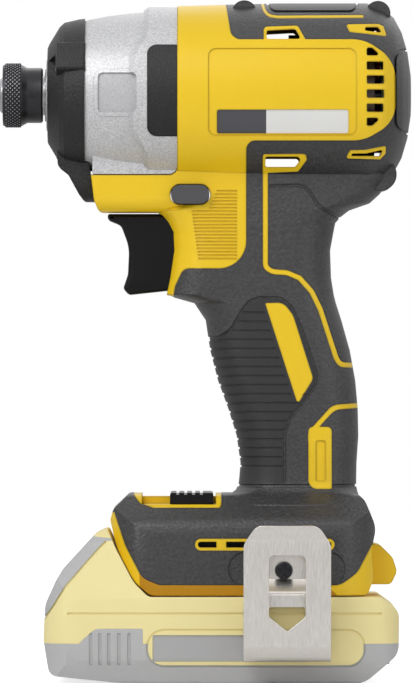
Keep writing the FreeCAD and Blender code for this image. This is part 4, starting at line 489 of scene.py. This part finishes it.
def solder_masked_board():
    # Glass-epoxy board under green solder mask, with tracks showing through as paler lines.
    look = bpy.context.scene.driver_drive
    material, tree, shader = shader_of("Solder_masked_board", Roughness=0.3, Coat_Weight=0.3)
    cells = {"Vector": place_of(tree), "Scale": 1.0 / (2.5 * MM)}
    tracks = add_node(tree, "ShaderNodeTexVoronoi", cells, feature="DISTANCE_TO_EDGE", distance="CHEBYCHEV")
    base = linear(look.board)
    lines = graded(tree, tracks.outputs["Distance"], shade(base, 2.2), base, (0.05, 0.12))
    tree.links.new(lines, shader.inputs["Base Color"])
    relief(tree, shader, tracks.outputs["Distance"], 0.03 * MM)
    return material


def clear_lens():
    # Clear polycarbonate, slightly diffusing, over the work lights.
    tint = linear("#E9E6C8")
    material, tree, shader = shader_of(
        "Clear_polycarbonate", Roughness=0.18, IOR=1.58, Transmission_Weight=0.75, Base_Color=tint
    )
    relief(tree, shader, noise(tree, 0.5 * MM), 0.01 * MM)
    return material


def pack_yellow():
    # The pack's upper half: the housing's nylon, bleached pale.
    look = bpy.context.scene.driver_pack
    return moulded("Pale_nylon", look.yellow, 0.45 * MM, 0.012 * MM, 0.5, fade=look.fade, mottle=0.02)


def pack_label():
    # Printed film on the pack's side plate, bleached like the rest and left bare.
    look = bpy.context.scene.driver_pack
    return moulded("Pale_printed_film", look.label, 0.3 * MM, 0.002 * MM, 0.35, fade=look.fade, mottle=0.03)


def pack_grey():
    # The pack's lower half: ABS in grey, bleached pale, with a spark texture.
    look = bpy.context.scene.driver_pack
    return moulded("Pale_ABS", look.grey, 0.6 * MM, 0.02 * MM, 0.5, fade=look.fade, mottle=0.05)


def cell_film():
    # Shrink film round the cells: blue and glossy.
    return moulded("Shrink_film", "#2E6FA3", 2.0 * MM, 0.01 * MM, 0.22, mottle=0.05)


def nickel_strip():
    # Rolled nickel strip, spot welded.
    return metal("Rolled_nickel", "#B8B4A8", 0.3, 0.6 * MM, 0.006 * MM, (1, 6, 1))


def silicone_wire():
    # Silicone insulation on the motor and battery leads: soft black.
    return moulded("Silicone_insulation", "#1B1B1D", 0.5 * MM, 0.01 * MM, 0.6)


def fan_plastic():
    # Glass-filled nylon fan, natural black.
    return moulded("Glass_filled_black_nylon", "#2B2B2D", 0.4 * MM, 0.012 * MM, 0.45)


FINISHES = {}


def finish(maker):
    """The material that maker builds, built once."""
    if maker.__name__ not in FINISHES:
        FINISHES[maker.__name__] = maker()
    return FINISHES[maker.__name__]


# ---- pieces --------------------------------------------------------------------------------------


def pick(*pieces):
    """Makes these the only selected objects, the first of them active."""
    bpy.ops.object.select_all(action="DESELECT")
    for piece in pieces:
        piece.select_set(True)
    bpy.context.view_layer.objects.active = pieces[0]


def in_edit_mode(piece, *steps):
    """Runs steps on the whole of piece in edit mode."""
    pick(piece)
    bpy.ops.object.mode_set(mode="EDIT")
    bpy.ops.mesh.select_all(action="SELECT")
    for step in steps:
        step()
    bpy.ops.object.mode_set(mode="OBJECT")


def smooth(piece, degrees=28):
    pick(piece)
    bpy.ops.object.shade_smooth_by_angle(angle=math.radians(degrees))


def settle(piece, maker, body, node):
    """Puts a piece's place in its mesh, gives it its name and finish, and lets it ride for its CAD node."""
    pick(piece)
    bpy.ops.object.transform_apply(location=True, rotation=True, scale=True)
    piece.name = node + "_piece"
    piece.data.name = node + "_piece"
    piece.data.materials.clear()
    piece.data.materials.append(finish(maker))
    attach(piece, body)
    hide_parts(node)
    return piece


def dressed(node, maker, degrees=28):
    """A smooth-shaded copy of a CAD node, in its place, in the given finish."""
    piece = bpy.data.objects.new(node + "_piece", NODES[node].data.copy())
    bpy.context.scene.collection.objects.link(piece)
    in_edit_mode(piece, lambda: bpy.ops.mesh.remove_doubles(threshold=0.003 * MM))
    pick(piece)
    bpy.ops.mesh.customdata_custom_splitnormals_clear()
    smooth(piece, degrees)
    return settle(piece, maker, BODY_OF[node], node)


def within(outline, x, z):
    """Whether (x, z) lies inside a closed side-view outline."""
    found = False
    for (xa, za), (xb, zb) in zip(outline, outline[1:] + outline[:1]):
        if (za > z) != (zb > z) and x < xa + (z - za) / (zb - za) * (xb - xa):
            found = not found
    return found


def region(piece, maker, wanted):
    """Gives the faces of piece that wanted(centre, normal) picks a second finish."""
    piece.data.materials.append(finish(maker))
    last = len(piece.data.materials) - 1
    for face in piece.data.polygons:
        if wanted(face.center, face.normal):
            face.material_index = last


def rectangle(x0, x1, z0, z1):
    return [(x0 * MM, z0 * MM), (x1 * MM, z0 * MM), (x1 * MM, z1 * MM), (x0 * MM, z1 * MM)]


def refinish(maker, *nodes):
    """Gives CAD nodes whose shape stays a finish."""
    for node in nodes:
        mesh = NODES[node].data
        mesh.materials.clear()
        mesh.materials.append(finish(maker))


def turned_piece(outline, segments=96):
    """Turns a closed (x, radius) outline about the spindle axis.

    A ring of edges is extruded along the outline, and scaled to its radius.
    """
    x, r = outline[0]
    bpy.ops.object.select_all(action="DESELECT")
    bpy.ops.mesh.primitive_circle_add(
        vertices=segments, radius=r, location=(x, 0, AXIS_Z), rotation=(0, math.pi / 2, 0)
    )
    piece = bpy.context.object

    def sweep():
        for (xa, ra), (xb, rb) in zip(outline, outline[1:] + outline[:1]):
            bpy.ops.mesh.extrude_edges_indiv()
            bpy.ops.transform.translate(value=(xb - xa, 0, 0))
            bpy.ops.transform.resize(value=(1, rb / ra, rb / ra), center_override=(xb, 0, AXIS_Z))
        bpy.ops.mesh.select_all(action="SELECT")
        bpy.ops.mesh.remove_doubles(threshold=0.002 * MM)
        bpy.ops.mesh.normals_make_consistent(inside=False)

    in_edit_mode(piece, sweep)
    return piece


WIRE_SIDES = 10
COIL_STEPS = 28  # runs of wire in one turn


def spring_piece(x0, x1, mean_r, wire_r, turns, z):
    """A coil spring along X: a wire's section, screwed round the axis."""
    bpy.ops.object.select_all(action="DESELECT")
    bpy.ops.mesh.primitive_circle_add(
        vertices=WIRE_SIDES,
        radius=wire_r,
        fill_type="NGON",
        location=(0, 0, mean_r),
        rotation=(math.pi / 2, 0, 0),
    )
    piece = bpy.context.object
    bpy.ops.object.transform_apply(location=True, rotation=True, scale=True)
    screw = piece.modifiers.new("Coil", "SCREW")
    screw.axis = "X"
    screw.angle = 2 * math.pi * turns
    screw.screw_offset = x1 - x0 - 2 * wire_r
    screw.steps = int(COIL_STEPS * turns)
    screw.render_steps = screw.steps
    screw.use_merge_vertices = False
    bpy.ops.object.modifier_apply(modifier="Coil")
    in_edit_mode(piece, lambda: bpy.ops.mesh.normals_make_consistent(inside=False))
    piece.location = (x0 + wire_r, 0, z)
    smooth(piece, degrees=50)
    return piece


def shortened_by(spring):
    """Gives a spring a mesh of its own."""
    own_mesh(spring)


def redrawn_spring(node, body, wire_r, turns, z=None):
    """A CAD spring drawn again as smooth wire in the same box, about z or the box's middle."""
    low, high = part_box(node)
    mean_r = (high[2] - low[2]) / 2 - wire_r
    middle = (low[2] + high[2]) / 2 if z is None else z
    spring = spring_piece(low[0], high[0], mean_r, wire_r, turns, middle)
    settle(spring, spring_wire, body, node)
    shortened_by(spring)


# The smooth rubber of the grip, as a side-view outline in mm
GRIP_PAD = [
    (-20.0, 112.9),
    (-1.2, 113.3),
    (2.8, 116.3),
    (5.4, 121.3),
    (8.3, 125.2),
    (11.6, 126.3),
    (18.6, 126.2),
    (22.0, 123.5),
    (25.3, 116.3),
    (30.3, 101.4),
    (29.9, 97.6),
    (25.5, 91.4),
    (21.6, 87.0),
    (19.8, 81.6),
    (19.8, 65.1),
    (-20.0, 65.1),
]


# The rim of the foot that the battery pack stands against, in mm, which gets the rim colour as a painted shade
FOOT_RIM = [(-27.5, 39.5), (-23.0, 39.5), (-20.0, 36.9), (30.5, 36.9), (30.5, 26.0), (-27.5, 26.0)]


# Side-view fields in mm: x from and to, z from and to
TOP_STRIP = (14.9, 43.7, 220.7, 230.0)  # smooth strip along the overmould's top
LABEL_DARK = (-2.1, 13.85, 180.2, 187.7)
LABEL_LIGHT = (13.95, 40.7, 180.2, 187.7)
BADGE = (-41.2, -28.6, 187.0, 200.0)
PACK_PLATE = (-23.3, 30.1, 7.5, 16.3)

# Faces further out than these are on the outside of their piece
BARREL_SKIN_R = 28.3 * MM
FOOT_SKIN_Y = 15 * MM
CASE_SKIN_Y = 24 * MM
PACK_SKIN_Y = 36.5 * MM


def outward(centre, normal):
    """Whether a face of the barrel is on its outside and looks away from the spindle axis."""
    lift = Vector((0, centre.y, centre.z - AXIS_Z))
    return lift.length > BARREL_SKIN_R and normal.dot(lift.normalized()) > 0.5


def sideways(normal, share):
    """Whether a face looks to either side, by at least share of its normal."""
    return abs(normal.y) > share


class DRIVER_OT_housing(bpy.types.Operator):
    """Housing halves, overmould and their fasteners"""

    bl_idname = "driver.housing"
    bl_label = "Housing"

    def execute(self, context):
        pad = [(x * MM, z * MM) for x, z in GRIP_PAD]
        strip = rectangle(*TOP_STRIP)
        rim = [(x * MM, z * MM) for x, z in FOOT_RIM]
        for side in ("left", "right"):
            shell = dressed("housing_" + side, glass_filled_nylon)
            for maker, field in ((label_dark, LABEL_DARK), (label_light, LABEL_LIGHT)):
                film = rectangle(*field)
                region(shell, maker, lambda c, n, film=film: within(film, c.x, c.z) and outward(c, n))
            # The foot's rim gets the rim colour as a painted shade.
            region(shell, shaded_nylon, lambda c, n: within(rim, c.x, c.z) and abs(c.y) > FOOT_SKIN_Y)
            cover = dressed("overmould_" + side, soft_overmould)
            region(
                cover,
                grip_rubber,
                lambda c, n: (within(pad, c.x, c.z) and sideways(n, 0.05)) or within(strip, c.x, c.z),
            )
        dressed("housing_screws", black_oxide_steel)
        dressed("hook_inserts", turned_brass)
        return {"FINISHED"}


class DRIVER_OT_nose(bpy.types.Operator):
    """Gearcase, its side pads, the nose bumper and the work lights"""

    bl_idname = "driver.nose"
    bl_label = "Nose"

    def execute(self, context):
        case = dressed("gearcase", painted_casting)
        badge = rectangle(*BADGE)
        region(
            case,
            badge_paint,
            lambda c, n: within(badge, c.x, c.z) and sideways(n, 0.7) and abs(c.y) > CASE_SKIN_Y,
        )
        dressed("gearcase_pads", bumper_rubber)
        dressed("nose_boot", bumper_rubber, degrees=12)
        dressed("led_lenses", clear_lens)
        dressed("anvil_bush", sintered_bronze)
        refinish(solder_masked_board, "led_board")
        return {"FINISHED"}


KNURL_LEN = 6.0 * MM  # from the collar's front
WAIST_STEP = 1.5 * MM  # how far the collar's plain part lies below its rim
SLEEVE_BORE_R = 8.9 * MM  # round the spring
GUIDE_BORE_R = 6.66 * MM  # round the output shaft
GUIDE_LEN = 5.6 * MM
DIAMOND_TOP = 0.24  # half width of a diamond's flat top, which carries a painted highlight, where its base has 0.5


def collar_outline(front, back, r, core):
    """The collar's (x, radius) outline: its rim, the ground under the knurl, the waist and the bore."""
    waist = r - WAIST_STEP
    knurl_end = front + KNURL_LEN
    return [
        (front, SLEEVE_BORE_R),
        (front, r - 0.9 * MM),
        (front + 0.25 * MM, r - 0.45 * MM),
        (front + 0.8 * MM, core),
        (knurl_end, core),
        (knurl_end + 0.5 * MM, core - 0.2 * MM),
        (knurl_end + 1.9 * MM, waist + 0.1 * MM),
        (knurl_end + 2.4 * MM, waist),
        (back - 0.5 * MM, waist),
        (back, waist - 0.5 * MM),
        (back, 7.3 * MM),
        (back - 0.4 * MM, GUIDE_BORE_R),
        (back - GUIDE_LEN, GUIDE_BORE_R),
        (back - GUIDE_LEN, SLEEVE_BORE_R),
    ]


def knurl_column(look, front, core):
    """One row of diamonds along the collar's top, every second one half a pitch round."""
    pitch = 2 * math.pi * core / look.knurl_count
    row_step = (KNURL_LEN - 1.0 * MM) / look.knurl_rows
    column = []
    for row in range(look.knurl_rows):
        bpy.ops.object.select_all(action="DESELECT")
        bpy.ops.mesh.primitive_cone_add(vertices=4, radius1=0.5, radius2=DIAMOND_TOP, depth=1.0)
        point = bpy.context.object
        turn = (row % 2) * math.pi / look.knurl_count
        along = front + 0.9 * MM + row_step * (row + 0.5)
        size = Matrix.Diagonal((2 * row_step, pitch, 2 * look.knurl_height, 1))
        stand = Matrix.Translation((along, 0, core))
        swing = Matrix.Rotation(turn, 4, "X")
        point.matrix_world = Matrix.Translation((0, 0, AXIS_Z)) @ swing @ stand @ size
        column.append(point)
    pick(*column)
    bpy.ops.object.transform_apply(location=True, rotation=True, scale=True)
    bpy.ops.object.join()
    return column[0]


def turned_copies(piece, count):
    """The piece and its copies, count in all, evenly round the spindle axis."""
    centre = Matrix.Translation((0, 0, AXIS_Z))
    stack = [piece]
    for i in range(1, count):
        copy = piece.copy()
        copy.data = piece.data.copy()
        bpy.context.scene.collection.objects.link(copy)
        swing = Matrix.Rotation(2 * math.pi * i / count, 4, "X")
        copy.data.transform(centre @ swing @ centre.inverted())
        stack.append(copy)
    return stack


class DRIVER_OT_chuck(bpy.types.Operator):
    """Output shaft, its knurled collar and what holds them together"""

    bl_idname = "driver.chuck"
    bl_label = "Chuck"

    def execute(self, context):
        look = context.scene.driver_chuck
        low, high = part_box("chuck_sleeve")
        front = low[0]
        r = (high[2] - low[2]) / 2
        core = r - look.knurl_height
        sleeve = turned_piece(collar_outline(front, high[0], r, core))
        stack = turned_copies(knurl_column(look, front, core), look.knurl_count)
        smooth(sleeve, degrees=24)
        pick(sleeve, *stack)
        bpy.ops.object.join()
        settle(sleeve, black_oxide_steel, "sleeve", "chuck_sleeve")
        # The diamonds' flat tops get a lighter steel as a painted highlight.
        tops = core + 0.9 * look.knurl_height
        region(
            sleeve,
            painted_highlight_points,
            lambda c, n: Vector((c.y, c.z - AXIS_Z)).length > tops and abs(n.x) < 0.2,
        )
        dressed("anvil", ground_steel)
        dressed("chuck_clip", spring_wire)
        dressed("chuck_washers", ground_steel)
        redrawn_spring("chuck_spring", "anvil", wire_r=0.45 * MM, turns=4, z=AXIS_Z)
        refinish(ground_steel, "detent_balls")
        return {"FINISHED"}


class DRIVER_OT_controls(bpy.types.Operator):
    """Trigger, reverse button and mode selector"""

    bl_idname = "driver.controls"
    bl_label = "Controls"

    def execute(self, context):
        dressed("trigger", satin_black_plastic)
        dressed("reverse_button", dark_grey_plastic)
        dressed("mode_tray", glass_filled_nylon)
        dressed("mode_slider", satin_black_plastic)
        refinish(satin_black_plastic, "switch_body", "controller_module", "terminal_block")
        refinish(solder_masked_board, "mode_board", "sensor_board")
        refinish(silicone_wire, "wire_leads")
        redrawn_spring("trigger_spring", "tool", wire_r=0.35 * MM, turns=9)
        return {"FINISHED"}


class DRIVER_OT_hook(bpy.types.Operator):
    """Belt hook and its screw"""

    bl_idname = "driver.hook"
    bl_label = "Belt hook"

    def execute(self, context):
        dressed("belt_hook", plated_steel)
        dressed("hook_screw", black_oxide_steel)
        return {"FINISHED"}


# The grey strip down the pack's sloping front, in mm
PACK_FRONT = [
    (-37.9, 48.0),
    (-40.8, 44.7),
    (-44.8, 40.2),
    (-51.8, 32.1),
    (-55.6, 25.9),
    (-58.6, 21.7),
    (-64.0, 21.7),
    (-64.0, 48.0),
]


POCKET_ROOM = 1 * MM  # from the latch's side to the end of its pocket
POCKET_DEPTH = 5 * MM  # how far the pocket's back lies behind the pack's front


class DRIVER_OT_pack(bpy.types.Operator):
    """Battery pack with its latch, gauge and cells"""

    bl_idname = "driver.pack"
    bl_label = "Battery pack"

    def execute(self, context):
        dressed("pack_lower", pack_grey)
        top = dressed("pack_upper", pack_yellow)
        plate = rectangle(*PACK_PLATE)
        front = [(x * MM, z * MM) for x, z in PACK_FRONT]
        region(
            top,
            pack_label,
            lambda c, n: within(plate, c.x, c.z) and sideways(n, 0.9) and abs(c.y) > PACK_SKIN_Y,
        )
        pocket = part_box("pack_latch")[1][1] + POCKET_ROOM
        region(
            top,
            pack_grey,
            lambda c, n: within(front, c.x, c.z)
            or (abs(c.y) < pocket and within(front, c.x - POCKET_DEPTH, c.z)),
        )
        dressed("pack_latch", pack_grey)
        dressed("pack_screws", black_oxide_steel)
        dressed("gauge_button", dark_grey_plastic)
        dressed("gauge_leds", clear_lens)
        refinish(cell_film, "pack_cells")
        refinish(nickel_strip, "cell_straps")
        refinish(solder_masked_board, "pack_board")
        shortened_by(dressed("latch_springs", spring_wire))
        return {"FINISHED"}


class DRIVER_OT_drive(bpy.types.Operator):
    """Hammer, gears and motor inside the housing"""

    bl_idname = "driver.drive"
    bl_label = "Drive"

    def execute(self, context):
        refinish(black_oxide_steel, "hammer", "plate_screws")
        refinish(
            gear_steel, "cam_spindle", "planet_pins", "cam_balls", "planet_gear_1", "planet_gear_2",
            "planet_gear_3", "ring_gear", "rotor_shaft",
        )
        refinish(ground_steel, "spring_washer", "spindle_bearing", "rotor_bearings")
        refinish(fan_plastic, "bearing_plate", "cooling_fan")
        refinish(laminations, "stator_core", "rotor_core")
        refinish(enamelled_copper, "stator_windings")
        redrawn_spring("hammer_spring", "spindle", wire_r=1.3 * MM, turns=4, z=AXIS_Z)
        return {"FINISHED"}


# Name, the setting of its power, its width and its place from the object's middle, in metres
LAMPS = [
    ("Key", "key", 0.5, (-0.35, -0.55, 0.55)),
    ("Fill", "fill", 0.6, (0.55, -0.6, 0.1)),
    ("Low", "low", 0.5, (-0.3, -0.6, -0.09)),
    ("Back", "fill", 0.6, (0.2, 0.6, 0.5)),
]
CAMERA_X = -5.8 * MM
CAMERA_Z = 112.0 * MM
SENSOR_HEIGHT = 36.0  # mm
FLOOR_WIDTH = 6.0
FLOOR_GLOW = 0.75  # what the camera sees added to the floor, to hold it white


def area_lamp(name, power, size, place, target):
    light = bpy.data.lights.new(name, "AREA")
    light.energy = power
    light.size = size
    lamp = bpy.data.objects.new(name, light)
    lamp.location = place
    lamp.rotation_euler = (Vector(target) - Vector(place)).to_track_quat("-Z", "Y").to_euler()
    bpy.context.scene.collection.objects.link(lamp)


class DRIVER_OT_stage(bpy.types.Operator):
    """Floor, light and camera"""

    bl_idname = "driver.stage"
    bl_label = "Studio"

    def execute(self, context):
        look = context.scene.driver_stage
        scene = context.scene
        bpy.ops.object.select_all(action="DESELECT")
        bpy.ops.mesh.primitive_plane_add(size=FLOOR_WIDTH, location=(0, 0, CAD_BOX[0][2] - 0.1 * MM))
        floor = context.object
        floor.name = "floor"
        # Matt white laminate: it stays white, and only the object's shadow darkens it.
        material, tree, shader = shader_of("White_laminate", Roughness=0.9, Specular_IOR_Level=0.1)
        pale = noise(tree, 40 * MM)
        shade_of_white = graded(tree, pale, (0.88, 0.88, 0.88, 1), (0.9, 0.9, 0.9, 1))
        tree.links.new(shade_of_white, shader.inputs["Base Color"])
        seen = add_node(tree, "ShaderNodeLightPath")
        lit = add_node(tree, "ShaderNodeEmission", {"Strength": FLOOR_GLOW})
        both = add_node(tree, "ShaderNodeAddShader", {0: shader.outputs[0], 1: lit.outputs[0]})
        mixed = {0: seen.outputs["Is Camera Ray"], 1: shader.outputs[0], 2: both.outputs[0]}
        surface = add_node(tree, "ShaderNodeMixShader", mixed).outputs[0]
        tree.links.new(surface, tree.nodes["Material Output"].inputs["Surface"])
        floor.data.materials.append(material)

        world = bpy.data.worlds.new("Studio")
        scene.world = world
        world.use_nodes = True
        sky = world.node_tree
        path = add_node(sky, "ShaderNodeLightPath")
        direct = {0: path.outputs["Is Camera Ray"], 1: path.outputs["Is Glossy Ray"]}
        shown = add_node(sky, "ShaderNodeMath", direct, operation="MAXIMUM")
        through = {0: shown.outputs[0], 1: path.outputs["Is Transmission Ray"]}
        shown = add_node(sky, "ShaderNodeMath", through, operation="MAXIMUM")
        dimming = {"Value": shown.outputs[0], "To Min": look.ambient, "To Max": 1.0}
        strength = add_node(sky, "ShaderNodeMapRange", dimming)
        # Seen in a shiny face, the room is bright overhead and dim near the floor and behind the camera.
        look_way = add_node(sky, "ShaderNodeTexCoord").outputs["Generated"]
        split = add_node(sky, "ShaderNodeSeparateXYZ", {"Vector": look_way})
        height = {"Value": split.outputs["Z"], "From Min": -0.5, "From Max": 0.8}
        bright = {"To Min": 0.25, "To Max": 1.1}
        room = add_node(sky, "ShaderNodeMapRange", {**height, **bright}, interpolation_type="SMOOTHSTEP")
        glossy = {"Value": path.outputs["Is Glossy Ray"], "To Min": 1.0}
        dimmed = add_node(sky, "ShaderNodeMapRange", {**glossy, "To Max": room.outputs["Result"]})
        shine = {0: strength.outputs["Result"], 1: dimmed.outputs["Result"]}
        total = add_node(sky, "ShaderNodeMath", shine, operation="MULTIPLY")
        background = sky.nodes["Background"]
        background.inputs["Color"].default_value = (1, 1, 1, 1)
        sky.links.new(total.outputs[0], background.inputs["Strength"])

        low, high = Vector(CAD_BOX[0]), Vector(CAD_BOX[1])
        middle = (low + high) / 2
        middle.y = 0
        for name, power, size, offset in LAMPS:
            area_lamp(name, getattr(look, power), size, middle + Vector(offset), middle)

        data = bpy.data.cameras.new("Camera")
        data.lens = look.lens
        data.sensor_fit = "VERTICAL"
        data.sensor_height = SENSOR_HEIGHT
        data.clip_end = 20.0
        camera = bpy.data.objects.new("Camera", data)
        scene.collection.objects.link(camera)
        distance = look.view_height / 2 / (data.sensor_height / 2 / look.lens)
        camera.location = (CAMERA_X, -distance, CAMERA_Z)
        camera.rotation_euler = (math.pi / 2, 0, 0)
        scene.camera = camera
        scene.view_settings.view_transform = "Standard"
        return {"FINISHED"}


class DRIVER_PT_panel(bpy.types.Panel):
    """Lists the steps that build the tool, and their settings"""

    bl_idname = "DRIVER_PT_panel"
    bl_label = "Impact driver"
    bl_space_type = "VIEW_3D"
    bl_region_type = "UI"
    bl_category = "Impact driver"

    def draw(self, context):
        for step in STEPS:
            self.layout.operator(step.bl_idname)
        for name, group in SETTINGS.items():
            for key in group.__annotations__:
                self.layout.prop(getattr(context.scene, name), key)


STEPS = [
    DRIVER_OT_stage,
    DRIVER_OT_housing,
    DRIVER_OT_nose,
    DRIVER_OT_chuck,
    DRIVER_OT_controls,
    DRIVER_OT_hook,
    DRIVER_OT_pack,
    DRIVER_OT_drive,
]


def register():
    for group in SETTINGS.values():
        bpy.utils.register_class(group)
    for name, group in SETTINGS.items():
        setattr(bpy.types.Scene, name, PointerProperty(type=group))
    for step in STEPS:
        bpy.utils.register_class(step)
    bpy.utils.register_class(DRIVER_PT_panel)


def unregister():
    bpy.utils.unregister_class(DRIVER_PT_panel)
    for step in reversed(STEPS):
        bpy.utils.unregister_class(step)
    for name in SETTINGS:
        delattr(bpy.types.Scene, name)
    for group in SETTINGS.values():
        bpy.utils.unregister_class(group)


def main():
    register()
    for step in STEPS:
        group, name = step.bl_idname.split(".")
        getattr(getattr(bpy.ops, group), name)()


if __name__ == "__main__":
    main()
